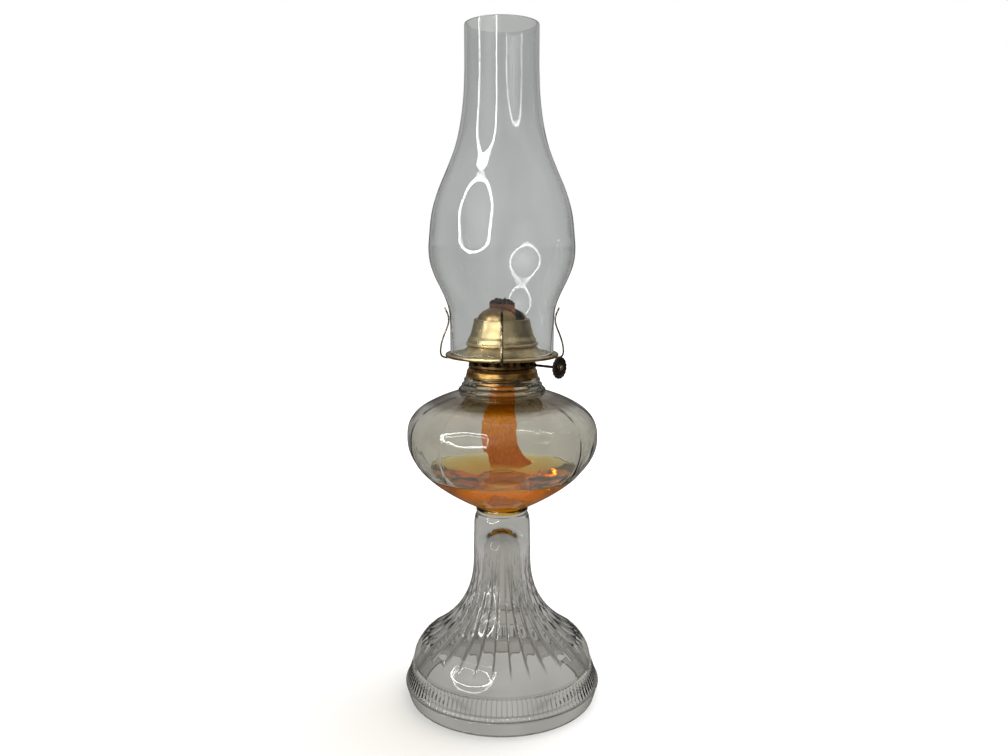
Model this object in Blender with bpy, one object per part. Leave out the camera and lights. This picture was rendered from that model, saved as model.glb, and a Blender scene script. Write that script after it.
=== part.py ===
"""Glass kerosene lamp with a flat-wick burner and a lift-off chimney.

Metres, +Z up. The origin is the centre of the foot's underside, on the table.
-Y is the front. The burner's wick and its spindle stand at an angle to the front,
as they stop wherever the burner is screwed tight.
"""

import math

import bmesh
import bpy
from mathutils import Matrix, Vector

# Clearances
SEAT_GAP = 0.0003
RUNNING_GAP = 0.00035
CUT_OVERRUN = 0.002

# Glass pedestal: a plain rim, a ribbed band, a fluted skirt and a stem
PEDESTAL_HEIGHT = 0.1432
RIM_HEIGHT = 0.0120
RIM_RADIUS = 0.0745
RIM_UNDERCUT = 0.0035
UNDERSIDE_ROUNDING = 0.0010
BAND_TOP_HEIGHT = 0.0268
BAND_TOP_RADIUS = 0.0689
BAND_STEP = 0.0009
RIB_COUNT = 120
RIB_DEPTH = 0.0008
RIB_MARGIN = 0.0026
SHOULDER_HEIGHT = 0.0440
SHOULDER_RADIUS = 0.0603
SHOULDER_SWELL = 0.0021
FLUTE_COUNT = 30
FLUTE_COLUMNS = 3
FLUTE_DEPTH = 0.0013
STEM_LENGTH = 0.0302
FLARE_POWER = 2.75
STEM_FOOT_RADIUS = 0.0216
STEM_RADIUS = 0.0212
STEM_SHOULDER_HEIGHT = 0.0100
STEM_TOP_RADIUS = 0.0184
FOOT_WALL = 0.0045
HOLLOW_SHOULDER_WALL = 0.0065
HOLLOW_STEM_RADIUS = 0.0135
HOLLOW_TOP_DEPTH = 0.0172
# Height shares: up the skirt, down the shoulder, up the hollow and up its rounded top.
SKIRT_ROW_SHARES = (1.0, 0.68, 0.42, 0.23, 0.10, 0.03, 0.0)
SHOULDER_ROW_SHARES = (0.34, 0.67, 1.0)
HOLLOW_ROW_SHARES = (0.0, 0.12, 0.28, 0.48, 0.72, 1.0)
HOLLOW_TOP_ROW_SHARES = (0.35, 0.7, 1.0)
FLUTE_TIP_SHARE = 0.03
FLUTE_FADE_POWER = 0.4

# Glass font, the oil bowl
FONT_RING_RADIUS = 0.0190
FONT_RING_HEIGHT = 0.0045
FONT_RING_SWELL = 0.0006
BOWL_RADIUS = 0.0711
BOWL_LOWER_HEIGHT = 0.0525
BOWL_UPPER_HEIGHT = 0.0350
BOWL_LOWER_POWER = 2.0
BOWL_UPPER_POWER = 3.0
BOWL_WALL = 0.0032
BOWL_FLOOR = 0.0030
BOWL_FLOOR_RADIUS = 0.0160
BOWL_CEILING = 0.0020
PANEL_COUNT = 12
PANEL_DEPTH = 0.0009
PANEL_AZIMUTH_DEG = -98.0
PANEL_CORNER_POWER = 5.0
# Share of a panel's turn where its columns stand, the first on the crest between two panels.
PANEL_COLUMN_SHARES = (0.0, 0.055, 0.34, 0.66, 0.945)
# Height shares of the bowl's rows: below its widest ring, then above it.
BOWL_LOWER_ROW_SHARES = (0.2, 0.4, 0.46, 0.54, 0.66, 0.82, 1.0)
BOWL_UPPER_ROW_SHARES = (0.3, 0.54, 0.72, 0.86, 0.94)
# Where the panels start and stop, as shares of the same two heights.
PANEL_FOOT_SHARE = 0.44
PANEL_HEAD_SHARE = 0.90
LIP_WALL = 0.00185
NECK_SHELF = 0.00195
NECK_RING_STANDOUTS = (0.0071, 0.0046, 0.0030)
NECK_RING_HEIGHT = 0.0037
NECK_GROOVE_DEPTH = 0.0011
# Height share up one ring, then how far its face is drawn in there.
NECK_RING_SHARES = ((0.08, 0.54), (0.35, 0.0), (0.75, 0.80))

# Brass collar, cemented over the neck's lip
COLLAR_HEIGHT = 0.0067
COLLAR_DRAW_IN = 0.0005
COLLAR_FLARE = 0.0016
COLLAR_SHEET = 0.0006
COLLAR_LIP = 0.0007
THREAD_RADIUS = 0.0222
THREAD_LENGTH = 0.0090
SLEEVE_MARGIN = 0.0008
CEMENT_HEIGHT = 0.0013

# Burner body
SHEET = 0.0007
PLATE_SHEET = 0.0006
BASKET_FOOT_LIP = 0.0024
BASKET_STANDOUT = 0.0020
BASKET_FLARE = 0.0024
BASKET_WINDOW_COUNT = 16
BASKET_WINDOW_WIDTH = 0.0034
BASKET_WINDOW_HEIGHT = 0.0046
BASKET_WINDOW_LIFT = 0.0022
DIFFUSER_HOLE_RADIUS = 0.0014
DIFFUSER_OUTER_HOLES = 12
DIFFUSER_INNER_HOLES = 6
DIFFUSER_HOLE_MARGIN = 0.0040
DIFFUSER_RING_SPACING = 0.0075
DIFFUSER_SLOT_MARGIN = 0.0025

# Gallery, the dish that the chimney stands in
GALLERY_LIFT = 0.0101
GALLERY_MARGIN = 0.0037
GALLERY_ROLL_RADIUS = 0.0012
GALLERY_LAP = 0.0016
GALLERY_RISE = 0.0060
GALLERY_SEAT_WIDTH = 0.0026
GALLERY_DISH_POWER = 2.2
GALLERY_ROW_SHARES = (0.0, 0.18, 0.45, 1.0)

# Deflector, the slotted dome over the wick tube
BELL_LAP = 0.0006
BELL_BEAD_STANDOUT = 0.0012
BELL_BEAD_HEIGHT = 0.0022
BELL_BEAD_SHARES = (0.25, 0.75)
BELL_FLARE = 0.0050
BELL_TOP_HEIGHT = 0.0188
CAP_STEP = 0.0028
CAP_HEIGHT = 0.0100
BLAZE_SLOT_WIDTH = 0.0092
BLAZE_SLOT_SILL = 0.0004

# Wick, its tube and the vent tube beside it
WICK_WIDTH = 0.0240
WICK_THICKNESS = 0.0026
WICK_STAND_UP = 0.0088
WICK_END_LIFT = 0.0232
WICK_STRAIGHT_DROP = 0.0113
WICK_SWAY = 0.0065
WICK_SWAY_SHARES = (0.4, 0.5)
WICK_END_SWEEP = 0.0090
WICK_END_DROP = 0.0060
WICK_TUBE_WALL = 0.0005
WICK_TUBE_HEIGHT = 0.0579
WICK_TUBE_DROP = 0.0150
WICK_AZIMUTH_DEG = -40.0
VENT_RADIUS = 0.0016
VENT_BORE = 0.0010
VENT_OFFSET = 0.0068
VENT_HEIGHT = 0.0165

# Spindle that raises the wick
SPINDLE_RADIUS = 0.00095
SPINDLE_LIFT = 0.0028
SPINDLE_INNER_END = 0.0105
RATCHET_RADIUS = 0.0045
RATCHET_DEPTH = 0.0011
RATCHET_TEETH = 12
RATCHET_THICKNESS = 0.0016
RATCHET_SPACING = 0.0110
WINDOW_MARGIN = 0.0012
SLEEVE_RADIUS = 0.0021
SLEEVE_BORE = 0.0013
SLEEVE_INWARD = 0.0092
SLEEVE_OUTWARD = 0.0020
THUMBWHEEL_REACH = 0.0483
THUMBWHEEL_RADIUS = 0.0080
THUMBWHEEL_THICKNESS = 0.0016
THUMBWHEEL_SCALLOPS = 16
SCALLOP_DEPTH = 0.0006
THUMBWHEEL_BOSS_RADIUS = 0.0026
THUMBWHEEL_BOSS_HEIGHT = 0.0007
RIVET_RADIUS = 0.0017
RIVET_HEIGHT = 0.0009
RIVET_SHOULDER_SHARES = (0.75, 0.7)

# Prongs that hold the chimney
PRONG_WIDTH = 0.0020
PRONG_THICKNESS = 0.0009
PRONG_HEIGHT = 0.0370
PRONG_TAB = 0.0035
PRONG_BOW = 0.0036
PRONG_AZIMUTHS_DEG = {
    "prong_front": -90.0,
    "prong_right": 0.0,
    "prong_back": 90.0,
    "prong_left": 180.0,
}
# Radius share: 0 against the chimney, 1 at the widest bow. Height share: of the prong.
PRONG_SHARES = (
    (0.82, 0.030),
    (0.98, 0.085),
    (1.00, 0.150),
    (0.86, 0.300),
    (0.52, 0.470),
    (0.16, 0.620),
    (0.00, 0.740),
    (0.08, 0.850),
    (0.46, 1.000),
)

# Glass chimney
CHIMNEY_HEIGHT = 0.2321
CHIMNEY_BASE_RADIUS = 0.0381
CHIMNEY_BULGE_RADIUS = 0.0533
CHIMNEY_NECK_RADIUS = 0.0265
CHIMNEY_WALL = 0.0020
CHIMNEY_STRAIGHT_HEIGHT = 0.0200
CHIMNEY_BULGE_HEIGHT = 0.0781
CHIMNEY_NECK_LENGTH = 0.0291
# Height share of the swell or of the shoulder, then the share of the bulge there.
SWELL_SHARES = (
    (0.00, 0.000),
    (0.19, 0.050),
    (0.33, 0.200),
    (0.465, 0.428),
    (0.60, 0.680),
    (0.725, 0.862),
    (0.86, 0.974),
    (1.00, 1.000),
)
SHOULDER_SHARES = (
    (0.00, 1.000),
    (0.184, 0.907),
    (0.312, 0.735),
    (0.44, 0.481),
    (0.56, 0.265),
    (0.688, 0.123),
    (0.84, 0.032),
    (1.00, 0.000),
)
# Height shares of the chimney's rows, closer where it bends.
CHIMNEY_ROW_SHARES = (
    0.0, 0.086, 0.125, 0.165, 0.205, 0.245, 0.29, 0.337,
    0.39, 0.44, 0.49, 0.54, 0.59, 0.65, 0.74, 0.875,
)
# Height share down the bell, then the share of its flare there.
BELL_SHARES = (
    (0.00, 0.00),
    (0.06, 0.04),
    (0.30, 0.20),
    (0.55, 0.42),
    (0.72, 0.58),
    (0.84, 0.86),
    (1.00, 1.00),
)

# Facets round each turned piece
RIM_FACETS = 60
GLASS_FACETS = 32
METAL_FACETS = 32
SMALL_FACETS = 12

# Radii that follow from the sizes above, from the thread outwards
UNDERSIDE_RADIUS = RIM_RADIUS - RIM_UNDERCUT
COLLAR_BORE_RADIUS = THREAD_RADIUS + RUNNING_GAP
COLLAR_SLEEVE_RADIUS = COLLAR_BORE_RADIUS + COLLAR_SHEET
LIP_BORE_RADIUS = COLLAR_SLEEVE_RADIUS + SEAT_GAP
NECK_BORE_RADIUS = LIP_BORE_RADIUS - NECK_SHELF
NECK_LIP_RADIUS = LIP_BORE_RADIUS + LIP_WALL
NECK_RING_RADII = tuple(NECK_LIP_RADIUS + standout for standout in NECK_RING_STANDOUTS)
COLLAR_TOP_RADIUS = NECK_LIP_RADIUS - COLLAR_DRAW_IN
COLLAR_WAIST_RADIUS = NECK_LIP_RADIUS + SEAT_GAP + COLLAR_SHEET
COLLAR_BASE_RADIUS = NECK_LIP_RADIUS + COLLAR_FLARE
SHELL_BORE_RADIUS = THREAD_RADIUS - SHEET * 2
BASKET_FOOT_RADIUS = THREAD_RADIUS + BASKET_FOOT_LIP
BASKET_WALL_RADIUS = THREAD_RADIUS + BASKET_STANDOUT
BASKET_TOP_RADIUS = BASKET_WALL_RADIUS + BASKET_FLARE
GALLERY_RADIUS = CHIMNEY_BASE_RADIUS + GALLERY_MARGIN
GALLERY_FLOOR_RADIUS = CHIMNEY_BASE_RADIUS - GALLERY_SEAT_WIDTH
GALLERY_INNER_RADIUS = BASKET_TOP_RADIUS - GALLERY_LAP
BELL_BASE_RADIUS = GALLERY_INNER_RADIUS + BELL_LAP
BELL_BEAD_RADIUS = BELL_BASE_RADIUS + BELL_BEAD_STANDOUT
BELL_TOP_RADIUS = BELL_BASE_RADIUS - BELL_FLARE
CAP_RADIUS = BELL_TOP_RADIUS - CAP_STEP
SLEEVE_START = BASKET_WALL_RADIUS - SLEEVE_INWARD
SLEEVE_END = BASKET_WALL_RADIUS + SLEEVE_OUTWARD

# Heights that follow from the sizes above
FLUTE_TOP_HEIGHT = PEDESTAL_HEIGHT - STEM_LENGTH
HOLLOW_TOP_HEIGHT = PEDESTAL_HEIGHT - HOLLOW_TOP_DEPTH
FONT_BASE = PEDESTAL_HEIGHT + SEAT_GAP
BOWL_BASE = FONT_BASE + FONT_RING_HEIGHT
BOWL_MIDDLE = BOWL_BASE + BOWL_LOWER_HEIGHT
NECK_BASE = BOWL_MIDDLE + BOWL_UPPER_HEIGHT
NECK_TOP = NECK_BASE + NECK_RING_HEIGHT * len(NECK_RING_RADII)
COLLAR_BASE = NECK_TOP + SEAT_GAP
COLLAR_TOP = COLLAR_BASE + COLLAR_HEIGHT
SLEEVE_FOOT = COLLAR_TOP - THREAD_LENGTH - SLEEVE_MARGIN
CEMENT_TOP = COLLAR_TOP - COLLAR_SHEET - SEAT_GAP
NECK_LIP_TOP = CEMENT_TOP - CEMENT_HEIGHT - SEAT_GAP
BURNER_BASE = COLLAR_TOP + SEAT_GAP
GALLERY_FLOOR = COLLAR_TOP + GALLERY_LIFT
DEFLECTOR_BASE = GALLERY_FLOOR + GALLERY_RISE + SEAT_GAP
CAP_BASE = DEFLECTOR_BASE + BELL_TOP_HEIGHT
CHIMNEY_BASE = GALLERY_FLOOR + SEAT_GAP
SPINDLE_HEIGHT = COLLAR_TOP + SPINDLE_LIFT
WICK_TUBE_BASE = COLLAR_TOP - WICK_TUBE_DROP
WICK_TUBE_TOP = WICK_TUBE_BASE + WICK_TUBE_HEIGHT
WICK_TOP = WICK_TUBE_TOP + WICK_STAND_UP
WICK_TAIL_TOP = WICK_TUBE_BASE - WICK_STRAIGHT_DROP
WICK_END = BOWL_BASE + BOWL_FLOOR + WICK_END_LIFT
CHIMNEY_NECK_HEIGHT = CHIMNEY_HEIGHT - CHIMNEY_NECK_LENGTH
WICK_ANGLE = math.radians(WICK_AZIMUTH_DEG)
WICK_ALONG = Vector((math.cos(WICK_ANGLE), math.sin(WICK_ANGLE), 0))
WICK_ACROSS = Vector((-math.sin(WICK_ANGLE), math.cos(WICK_ANGLE), 0))
TUBE_BORE_HALF_WIDTH = WICK_WIDTH / 2 + RUNNING_GAP
TUBE_BORE_HALF_DEPTH = WICK_THICKNESS / 2 + RUNNING_GAP
TUBE_HALF_WIDTH = TUBE_BORE_HALF_WIDTH + WICK_TUBE_WALL
TUBE_HALF_DEPTH = TUBE_BORE_HALF_DEPTH + WICK_TUBE_WALL
SPINDLE_OFFSET = WICK_THICKNESS / 2 + SEAT_GAP + RATCHET_RADIUS


def material(name, colour, roughness, metallic=0.0, transmission=0.0):
    """A plain Principled material."""
    made = bpy.data.materials.new(name)
    made.use_nodes = True
    made.diffuse_color = (*colour, 1.0)
    shader = made.node_tree.nodes["Principled BSDF"]
    shader.inputs["Base Color"].default_value = (*colour, 1.0)
    shader.inputs["Roughness"].default_value = roughness
    shader.inputs["Metallic"].default_value = metallic
    shader.inputs["Transmission Weight"].default_value = transmission
    return made


def glass(name, colour):
    return material(name, colour, roughness=0.03, transmission=1.0)


def brass(name, colour, roughness=0.38):
    return material(name, colour, roughness, metallic=1.0)


def interpolate(table, share):
    """A smooth curve through a table of (share, value) rows."""
    places = [row[0] for row in table]
    values = [row[1] for row in table]
    last = len(table) - 1
    slopes = []
    for index in range(last + 1):
        before = max(index - 1, 0)
        after = min(index + 1, last)
        slopes.append((values[after] - values[before]) / (places[after] - places[before]))
    index = 0
    while index < last - 1 and share > places[index + 1]:
        index += 1
    span = places[index + 1] - places[index]
    t = (share - places[index]) / span
    return (
        values[index] * (1 + 2 * t) * (1 - t) ** 2
        + values[index + 1] * t * t * (3 - 2 * t)
        + slopes[index] * span * t * (1 - t) ** 2
        - slopes[index + 1] * span * t * t * (1 - t)
    )


def spread(count):
    """Even shares from 0 to 1."""
    return [step / (count - 1) for step in range(count)]


def blend(first, second, share):
    return first + (second - first) * share


def groove(turns):
    """How deep a pleated surface is, from 1 in each groove to 0 between grooves."""
    return (1 - abs(math.sin(math.pi * turns))) ** 2


def ring(radius, height, count, start=0.0, pleats=0, depth=0.0):
    """One level of a turned piece, with grooves pressed into it if it has pleats."""
    if radius == 0:
        return [Vector((0, 0, height))]
    points = []
    for step in range(count):
        turn = step / count
        angle = start + 2 * math.pi * turn
        reach = radius - depth * groove(turn * pleats) if pleats else radius
        points.append(Vector((reach * math.cos(angle), reach * math.sin(angle), height)))
    return points


def arc(radius, height, size, start_deg, end_deg, count):
    """Outline points of (radius, height) on an arc about a centre."""
    points = []
    for share in spread(count):
        angle = math.radians(blend(start_deg, end_deg, share))
        points.append((radius + size * math.cos(angle), height + size * math.sin(angle)))
    return points


def stitch(mesh, first, second):
    """Join two rings, of any counts, with faces. A ring may be a single point."""
    if len(first) == len(second):
        for index in range(len(first)):
            after = (index + 1) % len(first)
            mesh.faces.new((first[index], first[after], second[after], second[index]))
        return
    first_steps = len(first) if len(first) > 1 else 0
    second_steps = len(second) if len(second) > 1 else 0
    i = j = 0
    while i < first_steps or j < second_steps:
        here = first[i % len(first)]
        there = second[j % len(second)]
        behind = j == second_steps or (
            i < first_steps and (2 * i + 1) * second_steps <= (2 * j + 1) * first_steps
        )
        if behind:
            i += 1
            mesh.faces.new((here, first[i % len(first)], there))
        else:
            j += 1
            mesh.faces.new((here, second[j % len(second)], there))


def skin(rings, closed=False):
    """A closed mesh over a row of rings, joined end to end or capped."""
    mesh = bmesh.new()
    rows = [[mesh.verts.new(point) for point in points] for points in rings]
    for first, second in zip(rows, rows[1:]):
        stitch(mesh, first, second)
    if closed:
        stitch(mesh, rows[-1], rows[0])
    else:
        for row in (rows[0], rows[-1]):
            if len(row) > 1:
                mesh.faces.new(row)
    bmesh.ops.recalc_face_normals(mesh, faces=mesh.faces)
    return mesh


def add(name, mesh, finish, parent=None):
    """Put a mesh in the scene as one shaded, named object."""
    data = bpy.data.meshes.new(name)
    mesh.to_mesh(data)
    mesh.free()
    data.shade_smooth()
    data.set_sharp_from_angle(angle=math.radians(38))
    made = bpy.data.objects.new(name, data)
    bpy.context.collection.objects.link(made)
    if finish:
        data.materials.append(finish)
    made.parent = parent
    return made


def turned(name, outline, count, finish, parent=None):
    """Turn an outline of (radius, height) points: closed, or open between two poles."""
    rings = [ring(radius, height, count) for radius, height in outline]
    return add(name, skin(rings, closed=outline[0][0] > 0), finish, parent)


def cut(target, mesh):
    """Take a mesh away from an object with a Boolean."""
    cutter = add(target.name + "_cutter", mesh, None, target.parent)
    cutter.hide_render = True
    cutter.display_type = "WIRE"
    taken = target.modifiers.new("cut", "BOOLEAN")
    taken.operation = "DIFFERENCE"
    taken.solver = "EXACT"
    taken.object = cutter


def prism(mesh, loop, low, high, place=Matrix.Identity(4)):
    """Add an upright block with the given (x, y) loop to a mesh."""
    bottom = [mesh.verts.new(place @ Vector((x, y, low))) for x, y in loop]
    top = [mesh.verts.new(place @ Vector((x, y, high))) for x, y in loop]
    stitch(mesh, bottom, top)
    mesh.faces.new(list(reversed(bottom)))
    mesh.faces.new(top)
    bmesh.ops.recalc_face_normals(mesh, faces=mesh.faces)


def circle(radius, count, x=0.0, y=0.0):
    steps = [2 * math.pi * step / count for step in range(count)]
    return [(x + radius * math.cos(angle), y + radius * math.sin(angle)) for angle in steps]


def rectangle(half_width, half_depth):
    return [
        (-half_width, -half_depth),
        (half_width, -half_depth),
        (half_width, half_depth),
        (-half_width, half_depth),
    ]


def stadium(half_width, half_depth, end_steps=4):
    """A flat tube's section: two round ends joined by straight sides."""
    straight = half_width - half_depth
    loop = []
    for side, first_deg in ((1, -90), (-1, 90)):
        for share in spread(end_steps):
            angle = math.radians(first_deg + 180 * share)
            loop.append((side * straight + half_depth * math.cos(angle), half_depth * math.sin(angle)))
    return loop


def wick_place(height=0.0):
    """The wick's own frame: X along its width, Y through its thickness."""
    return Matrix.Translation((0, 0, height)) @ Matrix.Rotation(WICK_ANGLE, 4, "Z")


def flare_radius(share, foot, top):
    """The skirt's radius, from the flutes' feet (share 0) to the stem (share 1)."""
    return blend(top, foot, (1 - share) ** FLARE_POWER)


def make_pedestal(finish):
    """The hollow glass foot: plain rim, ribbed band, fluted skirt, round stem."""
    rings = [ring(0, PEDESTAL_HEIGHT, 1)]
    stem_shoulder = PEDESTAL_HEIGHT - STEM_SHOULDER_HEIGHT
    for share in spread(4):
        reach = STEM_TOP_RADIUS + (STEM_RADIUS - STEM_TOP_RADIUS) * math.sin(share * math.pi / 2)
        height = stem_shoulder + STEM_SHOULDER_HEIGHT * math.cos(share * math.pi / 2)
        rings.append(ring(reach, height, GLASS_FACETS))
    flute_columns = FLUTE_COUNT * FLUTE_COLUMNS
    for share in SKIRT_ROW_SHARES:
        reach = flare_radius(share, SHOULDER_RADIUS, STEM_FOOT_RADIUS)
        height = blend(SHOULDER_HEIGHT, FLUTE_TOP_HEIGHT, share)
        fade = min(share / FLUTE_TIP_SHARE, 1) * (1 - share) ** FLUTE_FADE_POWER
        columns = GLASS_FACETS if share == 1 else flute_columns
        rings.append(ring(reach, height, columns, 0, FLUTE_COUNT, FLUTE_DEPTH * fade))
    dome_foot_radius = BAND_TOP_RADIUS - BAND_STEP
    for share in SHOULDER_ROW_SHARES:
        swell = SHOULDER_SWELL * math.sin(share * math.pi)
        reach = blend(SHOULDER_RADIUS, dome_foot_radius, share) + swell
        rings.append(ring(reach, blend(SHOULDER_HEIGHT, BAND_TOP_HEIGHT, share), RIM_FACETS))
    rings.append(ring(BAND_TOP_RADIUS, BAND_TOP_HEIGHT - BAND_STEP, RIB_COUNT))
    rib_columns = RIB_COUNT * 2
    band_height = BAND_TOP_HEIGHT - BAND_STEP - RIM_HEIGHT
    for drop in (RIB_MARGIN, band_height - RIB_MARGIN):
        reach = blend(BAND_TOP_RADIUS, RIM_RADIUS, drop / band_height)
        height = BAND_TOP_HEIGHT - BAND_STEP - drop
        rings.append(ring(reach, height, rib_columns, 0, RIB_COUNT, RIB_DEPTH))
    rings.append(ring(RIM_RADIUS, RIM_HEIGHT, RIB_COUNT))
    rings.append(ring(UNDERSIDE_RADIUS + UNDERSIDE_ROUNDING / 2, UNDERSIDE_ROUNDING, RIM_FACETS))
    rings.append(ring(UNDERSIDE_RADIUS - UNDERSIDE_ROUNDING, 0, RIM_FACETS))
    rings.append(ring(UNDERSIDE_RADIUS - FOOT_WALL, 0, GLASS_FACETS))
    rings.append(ring(BAND_TOP_RADIUS - FOOT_WALL, BAND_TOP_HEIGHT, GLASS_FACETS))
    hollow_foot = SHOULDER_RADIUS - HOLLOW_SHOULDER_WALL
    for share in HOLLOW_ROW_SHARES:
        reach = flare_radius(share, hollow_foot, HOLLOW_STEM_RADIUS)
        height = blend(SHOULDER_HEIGHT, FLUTE_TOP_HEIGHT, share)
        rings.append(ring(reach, height, GLASS_FACETS))
    dome_height = HOLLOW_TOP_HEIGHT - FLUTE_TOP_HEIGHT
    for share in HOLLOW_TOP_ROW_SHARES:
        reach = HOLLOW_STEM_RADIUS * math.cos(share * math.pi / 2) if share < 1 else 0
        height = FLUTE_TOP_HEIGHT + dome_height * math.sin(share * math.pi / 2)
        rings.append(ring(reach, height, GLASS_FACETS))
    add("pedestal", skin(rings), finish)


def bowl_point(share, middle_radius, low, low_radius, high, high_radius):
    """(radius, height) on the bowl: share -1 at its foot, 0 at its middle, 1 at its neck."""
    if share < 0:
        reach = blend(middle_radius, low_radius, abs(share) ** BOWL_LOWER_POWER)
        return reach, blend(BOWL_MIDDLE, low, -share)
    reach = blend(middle_radius, high_radius, share ** BOWL_UPPER_POWER)
    return reach, blend(BOWL_MIDDLE, high, share)


def panel_ring(radius, height, share):
    """One level of the bowl's outside, sunk within each round-cornered panel."""
    foot = PANEL_FOOT_SHARE - 1
    rise = (2 * share - foot - PANEL_HEAD_SHARE) / (PANEL_HEAD_SHARE - foot)
    points = []
    for panel in range(PANEL_COUNT):
        for column in PANEL_COLUMN_SHARES:
            across = (2 * column - 1) / (1 - PANEL_COLUMN_SHARES[1])
            edge = abs(across) ** PANEL_CORNER_POWER + abs(rise) ** PANEL_CORNER_POWER
            inside = column > 0 and edge <= 1
            reach = radius - PANEL_DEPTH if inside else radius
            angle = math.radians(PANEL_AZIMUTH_DEG) + 2 * math.pi * (panel + column) / PANEL_COUNT
            points.append(Vector((reach * math.cos(angle), reach * math.sin(angle), height)))
    return points


def make_font(finish):
    """The glass oil bowl, with thumbprint panels, a ringed neck and a thick floor."""
    start = math.radians(PANEL_AZIMUTH_DEG)
    rings = [ring(0, FONT_BASE, 1)]
    for share in spread(4):
        reach = FONT_RING_RADIUS + FONT_RING_SWELL * math.sin(share * math.pi)
        rings.append(ring(reach, FONT_BASE + FONT_RING_HEIGHT * share, GLASS_FACETS, start))
    outside = (BOWL_RADIUS, BOWL_BASE, FONT_RING_RADIUS, NECK_BASE, NECK_RING_RADII[0])
    rows = [share - 1 for share in BOWL_LOWER_ROW_SHARES]
    for share in rows + list(BOWL_UPPER_ROW_SHARES):
        reach, height = bowl_point(share, *outside)
        rings.append(panel_ring(reach, height, share))
    for index, reach in enumerate(NECK_RING_RADII):
        foot = NECK_BASE + NECK_RING_HEIGHT * index
        for share, drawn_in in NECK_RING_SHARES:
            height = foot + NECK_RING_HEIGHT * share
            rings.append(ring(reach - NECK_GROOVE_DEPTH * drawn_in, height, GLASS_FACETS, start))
    rings.append(ring(NECK_LIP_RADIUS, NECK_TOP, GLASS_FACETS, start))
    rings.append(ring(NECK_LIP_RADIUS - COLLAR_SHEET, NECK_LIP_TOP, GLASS_FACETS, start))
    shelf = SLEEVE_FOOT - SEAT_GAP
    rings.append(ring(LIP_BORE_RADIUS, NECK_LIP_TOP, GLASS_FACETS, start))
    rings.append(ring(LIP_BORE_RADIUS, shelf, GLASS_FACETS, start))
    rings.append(ring(NECK_BORE_RADIUS, shelf, GLASS_FACETS, start))
    floor = BOWL_BASE + BOWL_FLOOR
    ceiling = NECK_BASE - BOWL_CEILING
    inside = (BOWL_RADIUS - BOWL_WALL, floor, BOWL_FLOOR_RADIUS, ceiling, NECK_BORE_RADIUS)
    for share in reversed(spread(9)):
        reach, height = bowl_point(2 * share - 1, *inside)
        rings.append(ring(reach, height, GLASS_FACETS, start))
    rings.append(ring(0, floor, 1))
    add("font", skin(rings), finish)


def make_collar(finish, cement_finish):
    """The brass collar: a skirt over the glass lip and a threaded sleeve inside it."""
    waist = COLLAR_BASE + COLLAR_HEIGHT / 2
    outline = [
        (COLLAR_BORE_RADIUS, SLEEVE_FOOT),
        (COLLAR_BORE_RADIUS, COLLAR_TOP),
        (COLLAR_TOP_RADIUS, COLLAR_TOP),
        (COLLAR_WAIST_RADIUS, waist),
        (COLLAR_BASE_RADIUS, COLLAR_BASE + COLLAR_LIP),
        (COLLAR_BASE_RADIUS, COLLAR_BASE),
        (COLLAR_BASE_RADIUS - COLLAR_SHEET, COLLAR_BASE),
        (COLLAR_WAIST_RADIUS - COLLAR_SHEET, waist),
        (COLLAR_TOP_RADIUS - COLLAR_SHEET, COLLAR_TOP - COLLAR_SHEET - COLLAR_LIP),
        (COLLAR_TOP_RADIUS - COLLAR_SHEET, COLLAR_TOP - COLLAR_SHEET),
        (COLLAR_SLEEVE_RADIUS, COLLAR_TOP - COLLAR_SHEET),
        (COLLAR_SLEEVE_RADIUS, SLEEVE_FOOT),
    ]
    turned("collar", outline, METAL_FACETS, finish)
    cement_inside = COLLAR_SLEEVE_RADIUS + SEAT_GAP / 2
    cement_outside = COLLAR_TOP_RADIUS - COLLAR_SHEET - SEAT_GAP / 2
    cement = [
        (cement_inside, CEMENT_TOP - CEMENT_HEIGHT),
        (cement_outside, CEMENT_TOP - CEMENT_HEIGHT),
        (cement_outside, CEMENT_TOP),
        (cement_inside, CEMENT_TOP),
    ]
    turned("collar_cement", cement, METAL_FACETS, cement_finish)


def make_thread_shell(finish):
    """The burner's screw shell, with a lip inside its foot for the base plate."""
    foot = COLLAR_TOP - THREAD_LENGTH
    outline = [
        (SHELL_BORE_RADIUS, COLLAR_TOP),
        (SHELL_BORE_RADIUS, foot + SHEET),
        (SHELL_BORE_RADIUS - SHEET, foot + SHEET),
        (SHELL_BORE_RADIUS - SHEET, foot),
        (THREAD_RADIUS - SHEET / 2, foot),
        (THREAD_RADIUS, foot + SHEET),
        (THREAD_RADIUS, COLLAR_TOP),
    ]
    turned("thread_shell", outline, METAL_FACETS, finish)


def make_base_plate(finish):
    """The plate that closes the screw shell round the wick tube and the vent tube."""
    radius = SHELL_BORE_RADIUS - SEAT_GAP
    low = COLLAR_TOP - THREAD_LENGTH + SHEET + SEAT_GAP
    high = low + PLATE_SHEET
    mesh = bmesh.new()
    prism(mesh, circle(radius, METAL_FACETS), low, high)
    plate = add("base_plate", mesh, finish)
    holes = bmesh.new()
    loop = stadium(TUBE_HALF_WIDTH + SEAT_GAP, TUBE_HALF_DEPTH + SEAT_GAP)
    prism(holes, loop, low - CUT_OVERRUN, high + CUT_OVERRUN, wick_place())
    vent = circle(VENT_RADIUS + SEAT_GAP, SMALL_FACETS, 0, -VENT_OFFSET)
    prism(holes, vent, low - CUT_OVERRUN, high + CUT_OVERRUN, wick_place())
    cut(plate, holes)


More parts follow.
